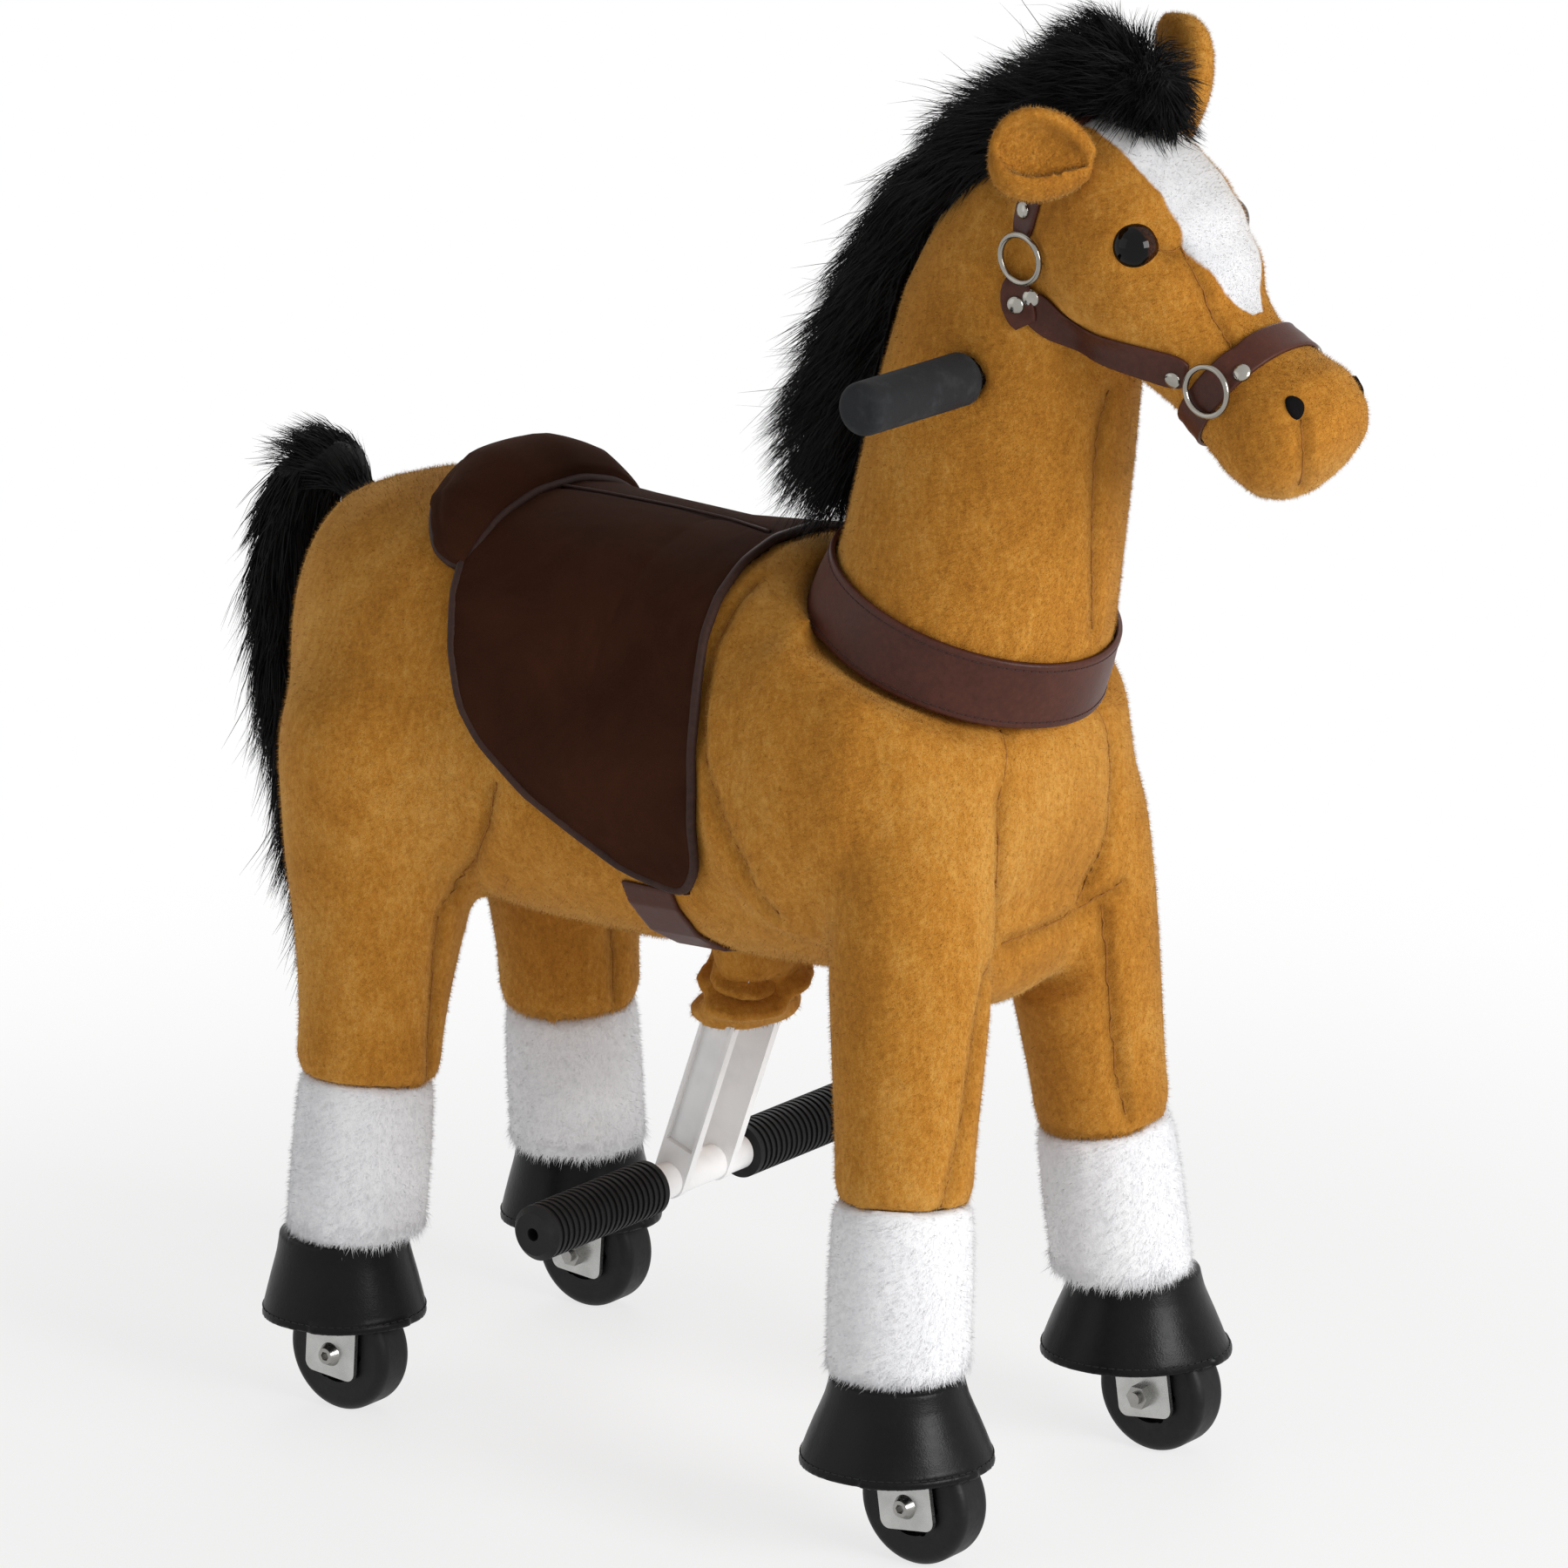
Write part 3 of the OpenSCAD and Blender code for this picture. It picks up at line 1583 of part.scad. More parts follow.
spine_tube();
frame_bushes();
torsion_springs();
head_tube();
seat_board();
rear_leg_frame();
rear_fork(true);  // rear_fork_right
rear_fork(false);  // rear_fork_left
rear_axle_bolts();
torso_plush();
rear_leg_plush(true);  // rear_leg_plush_right
rear_leg_plush(false);  // rear_leg_plush_left
rear_socks();
rear_hooves();
saddle_pad();
saddle_cantle();
girth_strap();
tail();
front_leg_frame();
footrest_arms();
footrest_bar();
foot_peg(true);  // foot_peg_right
foot_peg(false);  // foot_peg_left
front_leg_plush(true);  // front_leg_plush_right
front_leg_plush(false);  // front_leg_plush_left
front_socks();
front_hoof(true);  // front_hoof_right
front_hoof(false);  // front_hoof_left
fork_bushes();
pedal_boot();
steering_column();
handlebar();
grip(true);  // grip_right
grip(false);  // grip_left
neck_plush();
head_plush();
ear(true);  // ear_right
ear(false);  // ear_left
mane();
eyes();
halter_straps();
halter_hardware();
breast_collar();
front_fork(true);  // front_fork_right
front_fork(false);  // front_fork_left
front_axle_bolt(true);  // front_axle_bolt_right
front_axle_bolt(false);  // front_axle_bolt_left
on_side(true) tyre(front_axle_x);  // front_tyre_right
on_side(false) tyre(front_axle_x);  // front_tyre_left
on_side(true) hub(front_axle_x);  // front_hub_right
on_side(false) hub(front_axle_x);  // front_hub_left
on_side(true) bearings(front_axle_x);  // front_bearings_right
on_side(false) bearings(front_axle_x);  // front_bearings_left
on_side(true) tyre(rear_axle_x);  // rear_tyre_right
on_side(false) tyre(rear_axle_x);  // rear_tyre_left
on_side(true) hub(rear_axle_x);  // rear_hub_right
on_side(false) hub(rear_axle_x);  // rear_hub_left
on_side(true) bearings(rear_axle_x);  // rear_bearings_right
on_side(false) bearings(rear_axle_x);  // rear_bearings_left
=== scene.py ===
import math, time
import bpy, bmesh
import numpy as np
from mathutils import Matrix, Vector, noise
from mathutils.bvhtree import BVHTree


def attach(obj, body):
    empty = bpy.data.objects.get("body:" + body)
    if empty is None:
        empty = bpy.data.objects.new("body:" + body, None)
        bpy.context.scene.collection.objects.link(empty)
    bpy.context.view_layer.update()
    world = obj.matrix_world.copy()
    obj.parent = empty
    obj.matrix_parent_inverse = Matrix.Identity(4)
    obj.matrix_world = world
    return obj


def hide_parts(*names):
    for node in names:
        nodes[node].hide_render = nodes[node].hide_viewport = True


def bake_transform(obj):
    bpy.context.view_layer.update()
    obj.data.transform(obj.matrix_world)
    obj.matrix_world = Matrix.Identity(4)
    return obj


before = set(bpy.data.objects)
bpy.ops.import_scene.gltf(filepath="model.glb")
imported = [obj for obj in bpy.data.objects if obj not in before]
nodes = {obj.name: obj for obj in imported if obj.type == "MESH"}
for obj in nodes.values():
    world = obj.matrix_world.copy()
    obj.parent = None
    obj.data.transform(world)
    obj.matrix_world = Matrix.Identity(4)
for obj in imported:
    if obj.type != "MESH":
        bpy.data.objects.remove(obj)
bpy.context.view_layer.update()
scene = bpy.context.scene
began = time.time()


def say(stage):
    print(f"horse: {stage}, {time.time() - began:.0f} s")


view = {
    "azimuth": 37.3, "elevation": 15.82, "distance": 5.162,
    "target": (0.0037, 0.0, 0.408), "lens": 200.0, "sensor": 36.0, "far": 60.0, "picture": 1800,
}


def viewBack():  # the way from the toy to the camera
    a, e = math.radians(view["azimuth"]), math.radians(view["elevation"])
    return Vector((math.sin(a) * math.cos(e), -math.cos(a) * math.cos(e), math.sin(e)))


def addCamera():
    data = bpy.data.cameras.new("photoView")
    data.lens, data.sensor_width, data.clip_end = view["lens"], view["sensor"], view["far"]
    camera = link("photoView", data)
    aim(camera, Vector(view["target"]) + viewBack() * view["distance"], view["target"])
    scene.camera = camera


def aim(obj, spot, target):
    obj.location = spot
    obj.rotation_mode = "QUATERNION"
    obj.rotation_quaternion = (Vector(target) - Vector(spot)).to_track_quat("-Z", "Y")


class Field:  # a socket of a paint, with the operators that the paints use
    def __init__(self, paint, socket):
        self.paint, self.socket = paint, socket

    def join(self, operation, first, second):
        kinds = {x.socket.type for x in (first, second) if isinstance(x, Field)}
        if "RGBA" in kinds:
            sides = [x if isinstance(x, (Field, tuple)) else (x, x, x, 1) for x in (first, second)]
            return self.paint.node("ShaderNodeMix", {"data_type": "RGBA", "blend_type": operation},
                                   {0: 1.0, 6: sides[0], 7: sides[1]}, 2)
        if "VECTOR" in kinds:
            sides = [x if isinstance(x, (Field, tuple)) else (x, x, x) for x in (first, second)]
            return self.paint.node("ShaderNodeVectorMath", {"operation": operation},
                                   {0: sides[0], 1: sides[1]})
        return self.paint.node("ShaderNodeMath", {"operation": operation}, {0: first, 1: second})

    def __add__(self, other): return self.join("ADD", self, other)
    def __radd__(self, other): return self.join("ADD", other, self)
    def __sub__(self, other): return self.join("SUBTRACT", self, other)
    def __rsub__(self, other): return self.join("SUBTRACT", other, self)
    def __mul__(self, other): return self.join("MULTIPLY", self, other)
    def __rmul__(self, other): return self.join("MULTIPLY", other, self)
    def __truediv__(self, other): return self.join("DIVIDE", self, other)
    def __rtruediv__(self, other): return self.join("DIVIDE", other, self)


class Paint:  # one material, or the world, built node by node
    def __init__(self, name, owners=bpy.data.materials):
        self.owner = owners.new(name)
        self.owner.use_nodes = True
        self.tree = self.owner.node_tree
        self.tree.nodes.clear()

    def node(self, kind, settings=None, values=None, out=0):
        made = self.tree.nodes.new(kind)
        for key, value in (settings or {}).items():
            if key == "stops":
                ramp = made.color_ramp
                while len(ramp.elements) < len(value):
                    ramp.elements.new(1.0)
                for element, (position, colour) in zip(ramp.elements, value):
                    element.position, element.color = position, colour
            else:
                setattr(made, key, value)
        for key, value in (values or {}).items():
            if isinstance(value, Field):
                self.tree.links.new(value.socket, made.inputs[key])
            else:
                made.inputs[key].default_value = value
        return Field(self, made.outputs[out] if len(made.outputs) else None)

    def place(self):
        return self.node("ShaderNodeTexCoord", out=3)

    def axes(self, vector):
        return [self.node("ShaderNodeSeparateXYZ", None, {0: vector}, i) for i in range(3)]

    def grain(self, vector, scale, detail=2.0, rough=0.55, twist=0.0):
        return self.node("ShaderNodeTexNoise", None, {
            "Vector": vector, "Scale": scale, "Detail": detail, "Roughness": rough, "Distortion": twist})

    def cells(self, vector, scale):
        return self.node("ShaderNodeTexVoronoi", None, {"Vector": vector, "Scale": scale})

    def seams(self):  # 1 on a cover's seams
        # the seam weight marks where the paints darken the colour as painted shade in the seam grooves
        return self.node("ShaderNodeAttribute", {"attribute_name": "seam"}, out=2)

    def size(self, value):  # with no sign
        return self.node("ShaderNodeMath", {"operation": "ABSOLUTE"}, {0: value})

    def mix(self, share, first, second):
        return self.node("ShaderNodeMix", {"data_type": "RGBA"}, {0: share, 6: first, 7: second}, 2)

    def range(self, value, low, high, start=0.0, end=1.0):
        return self.node("ShaderNodeMapRange", {"interpolation_type": "SMOOTHSTEP"},
                         {0: value, 1: low, 2: high, 3: start, 4: end})

    def stretch(self, vector, scale):
        return self.node("ShaderNodeMapping", None, {"Vector": vector, "Scale": scale})

    def bump(self, height, distance, strength=1.0):
        return self.node("ShaderNodeBump", None,
                         {"Height": height, "Distance": distance, "Strength": strength})

    def surface(self, values):
        shader = self.node("ShaderNodeBsdfPrincipled", None, values)
        self.node("ShaderNodeOutputMaterial", None, {"Surface": shader})
        return self.owner


def rgb(red, green, blue):  # a colour as a picture shows it, for a socket
    def linear(v):
        v /= 255
        return v / 12.92 if v <= 0.04045 else ((v + 0.055) / 1.055) ** 2.4
    return (linear(red), linear(green), linear(blue), 1.0)


studio = {
    "key": (92, 1.5, (3.3, -0.2, 1.5)), "fill": (10, 2.6, (-1.6, -3.0, 1.7)),
    "rim": (20, 1.6, (-1.6, 2.2, 2.2)), "lampTarget": (0, 0, 0.45), "world": 0.31,
    "white": (1, 1, 1, 1), "floor": rgb(238, 238, 238), "floorSize": 30.0,
    "clearing": (0.4, 1.3), "clearingGlow": (0.74, 1.0),
}


def addStudio():
    sky = Paint("studio", bpy.data.worlds)
    seen = sky.node("ShaderNodeLightPath", out="Is Camera Ray")
    for ray in ("Is Glossy Ray", "Is Transmission Ray"):
        other = sky.node("ShaderNodeLightPath", out=ray)
        seen = sky.node("ShaderNodeMath", {"operation": "MAXIMUM"}, {0: seen, 1: other})
    glow = sky.node("ShaderNodeBackground", None, {"Color": studio["white"], "Strength": studio["world"]})
    white = sky.node("ShaderNodeBackground", None, {"Color": studio["white"]})
    pick = sky.node("ShaderNodeMixShader", None, {0: seen, 1: glow, 2: white})
    sky.node("ShaderNodeOutputWorld", None, {"Surface": pick})
    scene.world = sky.owner
    for name in ("key", "fill", "rim"):
        power, size, spot = studio[name]
        data = bpy.data.lights.new(name, "AREA")
        data.energy, data.size = power, size
        aim(link(name, data), spot, studio["lampTarget"])
    half = studio["floorSize"] / 2
    corners = [(-half, -half, 0), (half, -half, 0), (half, half, 0), (-half, half, 0)]
    floor = link("studioFloor", meshFrom("studioFloor", corners, [(0, 1, 2, 3)]))
    floor.data.materials.append(floorPaint())
    scene.view_settings.view_transform = "Standard"


def floorPaint():
    paint = Paint("studioFloor")
    shade = paint.node("ShaderNodeBsdfDiffuse", None, {"Color": studio["floor"]})
    glow = paint.node("ShaderNodeEmission", None, {"Color": studio["white"], "Strength": 1.0})
    spread = paint.node("ShaderNodeVectorMath", {"operation": "LENGTH"}, {0: paint.place()}, 1)
    far = paint.range(spread, *studio["clearing"], *studio["clearingGlow"])  # white away from the toy
    both = paint.node("ShaderNodeMixShader", None, {0: far, 1: shade, 2: glow})
    paint.node("ShaderNodeOutputMaterial", None, {"Surface": both})
    return paint.owner


def link(name, data):
    obj = bpy.data.objects.new(name, data)
    scene.collection.objects.link(obj)
    return obj


def meshFrom(name, points, faces, smooth=True):
    mesh = bpy.data.meshes.new(name)
    mesh.from_pydata([tuple(p) for p in points], [], [tuple(f) for f in faces])
    mesh.update()
    mesh.polygons.foreach_set("use_smooth", np.full(len(mesh.polygons), smooth))
    return mesh


def readOff(mesh, what):
    found = np.empty(len(mesh.vertices) * 3)
    mesh.vertices.foreach_get(what, found)
    return found.reshape(-1, 3)


def pointsOf(mesh):
    return readOff(mesh, "co")


def normalsOf(mesh):
    return readOff(mesh, "normal")


def setPoints(mesh, points):
    mesh.vertices.foreach_set("co", np.ascontiguousarray(points, dtype=np.float32).ravel())
    mesh.update()


def welded(names):
    work = bmesh.new()
    for name in names:
        work.from_mesh(nodes[name].data)
    bmesh.ops.remove_doubles(work, verts=work.verts, dist=1e-6)
    return work


def treeOf(*names):
    work = welded(names)
    tree = BVHTree.FromBMesh(work)
    work.free()
    return tree


def ramp(values, start, over):  # from 0 at a start up to 1
    return np.clip((values - start) / over, 0, 1)


def unit(rows):
    return rows / (np.linalg.norm(rows, axis=-1)[..., None] + 1e-9)


def turns(many):  # even angles round a ring
    return np.linspace(0, math.tau, many, endpoint=False)


def leaning(angle):  # the way up, tipped forward
    return np.array([math.sin(angle), 0, math.cos(angle)])


def meanOf(mesh):  # gives the mean of each point's neighbours
    ends = np.empty(len(mesh.edges) * 2, np.int32)
    mesh.edges.foreach_get("vertices", ends)
    (a, b), many = ends.reshape(-1, 2).T, len(mesh.vertices)
    ties = np.maximum(np.bincount(a, minlength=many) + np.bincount(b, minlength=many), 1)[:, None]

    def mean(points):
        sums = [np.bincount(a, points[b, k], many) + np.bincount(b, points[a, k], many) for k in range(3)]
        return np.stack(sums, 1) / ties
    return mean


def evenOut(mesh, rounds, weight=1.0):  # smooths with no shrinking
    points, mean = pointsOf(mesh), meanOf(mesh)
    for _ in range(rounds):
        for share in (0.5, -0.515):
            points = points + share * weight * (mean(points) - points)
    setPoints(mesh, points)


def calm(mesh, rounds, weight):  # fills hollows and wears bumps down
    points, mean = pointsOf(mesh), meanOf(mesh)
    for _ in range(rounds):
        points = points + weight[:, None] * 0.5 * (mean(points) - points)
    setPoints(mesh, points)


def remeshed(name, names, voxel, rounds, swell=0.0, lumps=()):  # solids joined under one skin
    work = welded(names)
    for place, size in lumps:
        shape = Matrix.Translation(place) @ Matrix.Diagonal((*size, 1.0))
        bmesh.ops.create_icosphere(work, subdivisions=4, radius=1.0, matrix=shape)
    mesh = bpy.data.meshes.new(name)
    work.to_mesh(mesh)
    work.free()
    if not swell:
        return voxelled(name, mesh, voxel, rounds)
    setPoints(mesh, pointsOf(mesh) + normalsOf(mesh) * swell)  # closes the gaps that one skin spans
    obj = voxelled(name, mesh, voxel, rounds)
    setPoints(obj.data, pointsOf(obj.data) - normalsOf(obj.data) * swell)
    evenOut(obj.data, 4)
    return obj


def voxelled(name, mesh, voxel, rounds):  # a closed skin of even squares
    obj = link(name, mesh)
    cut = obj.modifiers.new("voxels", "REMESH")
    cut.mode, cut.voxel_size, cut.use_smooth_shade = "VOXEL", voxel, True
    made = bpy.data.meshes.new_from_object(obj.evaluated_get(bpy.context.evaluated_depsgraph_get()))
    obj.modifiers.clear()
    obj.data = made
    bpy.data.meshes.remove(mesh)
    evenOut(made, rounds)
    return obj


stuffing = {"quality": 4, "mass": 0.3, "stiffness": 12, "frames": 20, "levels": 10, "rounds": 3}


def stuffed(obj, held, t):  # blows the cover out between what holds it
    mesh = obj.data
    setPoints(mesh, pointsOf(mesh) - normalsOf(mesh) * (t["inset"] * (1 - held))[:, None])
    small = pointsOf(mesh)
    group, levels = obj.vertex_groups.new(name="held"), stuffing["levels"]
    for level in range(1, levels + 1):
        chosen = np.nonzero(np.round(held * levels) == level)[0]
        if len(chosen):
            group.add(chosen.tolist(), level / levels, "REPLACE")
    cloth = obj.modifiers.new("stuffing", "CLOTH")
    rule = cloth.settings
    rule.quality, rule.mass = stuffing["quality"], stuffing["mass"]
    rule.tension_stiffness = rule.compression_stiffness = stuffing["stiffness"]
    rule.use_pressure, rule.uniform_pressure_force = True, t["pressure"]
    rule.effector_weights.gravity = 0
    rule.vertex_group_mass = "held"
    cloth.point_cache.frame_start, cloth.point_cache.frame_end = 1, stuffing["frames"]
    for step in range(1, stuffing["frames"] + 1):
        scene.frame_set(step)
    blown = obj.evaluated_get(bpy.context.evaluated_depsgraph_get())
    move = pointsOf(blown.to_mesh()) - small
    blown.to_mesh_clear()
    obj.modifiers.clear()
    obj.vertex_groups.clear()
    scene.frame_set(1)
    length = np.linalg.norm(move, axis=1)
    setPoints(mesh, small + move * np.minimum(1, t["cap"] / np.maximum(length, 1e-9))[:, None])
    evenOut(mesh, stuffing["rounds"])


def nearness(mesh, tree, near, far):  # 1 at a neighbour, 0 away from it
    hits = (tree.find_nearest(Vector(p), far + 0.01) for p in pointsOf(mesh))
    found = np.array([(hit or (0, 0, 0, far))[3] or far for hit in hits])
    return ramp(-found, -far, far - near)


def farFrom(points, line):  # distance of points from a line of points
    line = np.asarray(line, float)
    best = np.full(len(points), 9.0)
    for p, q in zip(line[:-1], line[1:]):
        d = q - p
        t = np.clip((points - p) @ d / max(d @ d, 1e-12), 0, 1)
        best = np.minimum(best, np.linalg.norm(points - p - t[:, None] * d, axis=1))
    return best


def seamed(mesh, lines, depth, width):  # pulls a cover in along its seams
    points, out = pointsOf(mesh), normalsOf(mesh)
    pull = np.zeros(len(points))
    for line in lines:
        pull = np.maximum(pull, np.exp(-(farFrom(points, line) / width) ** 2))
    setPoints(mesh, points - out * (depth * pull)[:, None])
    return pull


def finished(obj, paint, body, slot, replaces=()):
    obj.data.materials.clear()
    obj.data.materials.append(paint)
    carried(obj, body)
    if replaces:
        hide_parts(*replaces)
    return obj


def built(name, parts, paint, body, slot, replaces=()):  # one piece from lists of points and faces
    return finished(link(name, meshFrom(name, *merged(parts))), paint, body, slot, replaces)


headPlace = {"x": 0.23998, "z": 0.77601, "slope": math.radians(39), "length": 0.252, "height": 0.118}


mirror = np.array([1, -1, 1])  # to the other side of the toy


def onHead(ahead, side, up):  # a place in the head's own directions, in metres
    c, s = math.cos(headPlace["slope"]), math.sin(headPlace["slope"])
    return Vector((headPlace["x"] + ahead * c + up * s, side, headPlace["z"] - ahead * s + up * c))


plush = {
    "tan": (rgb(138, 83, 21), rgb(178, 119, 40), rgb(207, 157, 79)), "tanSheen": rgb(240, 204, 132),
    "white": (rgb(220, 221, 224), rgb(236, 236, 238), rgb(247, 247, 247)), "seam": rgb(160, 102, 36),
    # the blaze's white is a darker copy of the socks' white: painted shade that offsets the key light on the
    # head
    "blazeShadedWhite": (rgb(206, 207, 210), rgb(221, 221, 223), rgb(233, 233, 233)),
    "sheen": 0.45, "sheenRoughness": 0.4, "roughness": 0.92,
    "blaze": [(-0.050, 0.021), (-0.022, 0.028), (-0.003, 0.0315), (0.020, 0.0305), (0.051, 0.0315),
              (0.066, 0.027), (0.077, 0.021), (0.0895, 0.0125), (0.099, 0.005)],
    "blazeSpan": (-0.055, 0.105), "blazeWidest": 0.04, "blazeRag": 0.003, "blazeEdge": 0.0010,
    "blazeRise": (0.004, 0.012), "blazeEnd": (0.0985, 0.0990),
}


def plushPaint(name, tones, withBlaze=False):
    paint = Paint(name)
    spot = paint.place()
    brushed = paint.grain(paint.stretch(spot, (1, 1, 0.7)), 9.0, 4.0, 0.55, 1.2)  # where a hand stroked it
    tufts = paint.grain(paint.stretch(spot, (1, 1, 0.4)), 120.0, 3.0, 0.6)
    tips = paint.grain(spot, 1500.0, 1.0)
    clumps = paint.grain(paint.stretch(spot, (1, 1, 0.6)), 380.0, 2.0)
    lift = (brushed - 0.5) * 0.6 + (tufts - 0.5) * 0.3 + (clumps - 0.5) * 0.4 + (tips - 0.5) * 0.4
    share = paint.range(lift, -0.45, 0.45)

    def coat(low, middle, high):
        stops = [(0.0, low), (0.5, middle), (1.0, high)]
        return paint.node("ShaderNodeValToRGB", {"stops": stops}, {0: share})
    colour = coat(*tones)
    if withBlaze:
        x, y, z = paint.axes(spot)
        c, s = math.cos(headPlace["slope"]), math.sin(headPlace["slope"])
        ahead = (x - headPlace["x"]) * c - (z - headPlace["z"]) * s
        up = (x - headPlace["x"]) * s + (z - headPlace["z"]) * c
        low, high = plush["blazeSpan"]
        widest = plush["blazeWidest"]
        stops = [((a - low) / (high - low), (half / widest, 0, 0, 1)) for a, half in plush["blaze"]]
        shape = paint.node("ShaderNodeValToRGB", {"stops": stops}, {0: (ahead - low) / (high - low)})
        half = paint.axes(shape)[0]
        inside = half * widest - paint.size(y) + (tufts - 0.5) * plush["blazeRag"]
        edge = paint.range(inside, -plush["blazeEdge"], plush["blazeEdge"])
        edge = edge * paint.range(up, *plush["blazeRise"])
        edge = edge * paint.range(ahead, *plush["blazeEnd"], 1.0, 0.0)
        # the blaze takes the darker white, as painted shade against the key light that falls on the head
        colour = paint.mix(edge, colour, coat(*plush["blazeShadedWhite"]))
    # painted shade: the plush is darkened along the pulled-in seam grooves
    colour = colour * (1 - paint.seams() * 0.3)
    height = tufts * 0.35 + tips * 0.65
    return paint.surface({
        "Base Color": colour, "Roughness": plush["roughness"], "Normal": paint.bump(height, 0.0005, 0.6),
        "Sheen Weight": plush["sheen"], "Sheen Roughness": plush["sheenRoughness"],
        "Sheen Tint": plush["tanSheen"] if tones is plush["tan"] else tones[2], "Specular IOR Level": 0.2})


def scattered(mesh, count, dice, edge=None):  # places on a form, with the way out of it
    mesh.calc_loop_triangles()
    corners = np.empty(len(mesh.loop_triangles) * 3, np.int32)
    mesh.loop_triangles.foreach_get("vertices", corners)
    corners = corners.reshape(-1, 3)
    points, out = pointsOf(mesh), normalsOf(mesh)
    a, b, c = (points[corners[:, k]] for k in range(3))
    area = np.linalg.norm(np.cross(b - a, c - a), axis=1)
    bare = mesh.attributes.get("bare")
    if bare:
        shut = np.empty(len(points), np.float32)
        bare.data.foreach_get("value", shut)
        area = area * (shut[corners].mean(1) < fibre["shut"])
    if edge is not None:  # a fringe keeps to the rim that is given
        area = area * (edge[corners].mean(1) > 0.5)
    chosen = np.searchsorted(np.cumsum(area) / area.sum(), dice.random(count))
    u, v = dice.random((2, count))
    flip = u + v > 1
    u, v = np.where(flip, 1 - u, u), np.where(flip, 1 - v, v)
    shares = np.stack([1 - u - v, u, v], 1)[:, :, None]
    return (points[corners[chosen]] * shares).sum(1), unit((out[corners[chosen]] * shares).sum(1))


def squares(count):  # one square of the baked picture for each fibre
    across = int(math.ceil(math.sqrt(count)))
    return across, np.stack([np.arange(count) % across, np.arange(count) // across], 1)


fibre = {"shut": 0.6, "seamGap": 0.0010, "flow": (-0.3, 0.0, -1.0), "stray": 0.28, "twist": 0.25,
         "sunk": 0.0005, "tall": (0.55, 0.6), "lit": 0.35, "flat": [[[0.1, 0.1], [0.9, 0.1], [0.5, 0.9]]]}


# short fibres on a cover
def pile(obj, name, count, length, width, lean, seed, body, slot, seams=(), edge=None):
    mesh, dice = obj.data, np.random.default_rng(seed)
    root, rise = scattered(mesh, count, dice, edge)
    clear = np.full(count, True)
    for line in seams:
        clear &= farFrom(root, line) > fibre["seamGap"]
    root, rise, count = root[clear], rise[clear], int(clear.sum())
    down = np.array(fibre["flow"])
    flow = down - rise * (rise @ down)[:, None]
    way = unit(rise * (1 - lean) + flow * lean + dice.normal(size=(count, 3)) * fibre["stray"])
    side = unit(unit(np.cross(way, rise)) + dice.normal(size=(count, 3)) * fibre["twist"])
    least, more = fibre["tall"]
    tall = length * (least + more * dice.random(count))[:, None]
    root = root - rise * fibre["sunk"]
    half = side * np.sign((np.cross(side, way) * rise).sum(1))[:, None] * width / 2  # lit face outward
    made = np.stack([root - half, root + half, root + way * tall], 1).reshape(-1, 3)
    fur = bpy.data.meshes.new(name)
    fur.vertices.add(count * 3)
    fur.vertices.foreach_set("co", made.astype(np.float32).ravel())
    fur.loops.add(count * 3)
    fur.loops.foreach_set("vertex_index", np.arange(count * 3, dtype=np.int32))
    fur.polygons.add(count)
    fur.polygons.foreach_set("loop_start", np.arange(count, dtype=np.int32) * 3)
    fur.update(calc_edges=True)
    fur.polygons.foreach_set("use_smooth", np.full(count, True))
    across, cell = squares(count)
    flat = (cell[:, None, :] + np.array(fibre["flat"])) / across
    fur.uv_layers.new(name="OFBake").data.foreach_set("uv", flat.astype(np.float32).ravel())
    lit = np.repeat(rise, 3, axis=0)
    lit[2::3] += way * fibre["lit"]
    fur.normals_split_custom_set_from_vertices(unit(lit).tolist())
    return finished(link(name, fur), mesh.materials[0], body, slot)


def keep(mesh, name, values):  # a value for each point of a mesh
    mesh.attributes.new(name, "FLOAT", "POINT").data.foreach_set("value", values.astype(np.float32))


def traced(tree, spots, both=False):  # a line of the photograph, set on one side of a form or on both
    hits = [seenAt(tree, *spot)[0] for spot in spots]
    line = np.array([h for h in hits if h is not None])
    if not both:
        return [line]
    return [line, np.array([tree.find_nearest(Vector((x, -y, z)))[0] for x, y, z in line])]


softEnds = ("plush", "plush_right", "plush_left", "socks", "boot", "mane", "tail")
softNodes = [n for n in nodes if n.endswith(softEnds) or n in ("ear_right", "ear_left")]


sewn = {
    "depth": 0.0028, "width": 0.0045, "pull": 0.006, "thread": 0.0005, "pitch": 0.004,
    "held": (0.004, 0.012), "hardBare": (0.0012, 0.003), "softBare": (0.0004, 0.0012),
    "legTop": (0.28, 0.06), "legRounds": 110, "jointRounds": 90,
}


def bareOf(mesh, sources, bald=()):  # no pile under leather, at metal, or where two covers press
    hard = treeOf(*(n for n in nodes if n not in softNodes))
    soft = treeOf(*(n for n in softNodes if n not in sources))
    bare = np.maximum(nearness(mesh, hard, *sewn["hardBare"]), nearness(mesh, soft, *sewn["softBare"]))
    for place, radius in bald:
        bare = np.maximum(bare, (np.linalg.norm(pointsOf(mesh) - place, axis=1) < radius) * 1.0)
    keep(mesh, "bare", bare)


def carried(obj, body):  # on one body; a piece given between two bodies only has its transform baked in
    if isinstance(body, dict):
        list(body["bodies"])
        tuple(body["start"])
        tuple(body["end"])
        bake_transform(obj)
    elif body:
        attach(obj, body)


def seamThread(name, tree, seams, body, slot):
    parts = []
    for line in seams:
        sunk = [tree.find_nearest(Vector(p))[0] for p in even(line, sewn["pitch"], 2)]
        parts.append(tube(np.array(sunk), sewn["thread"], 6))
    if parts:
        built(name, parts, seamShade, body, slot)


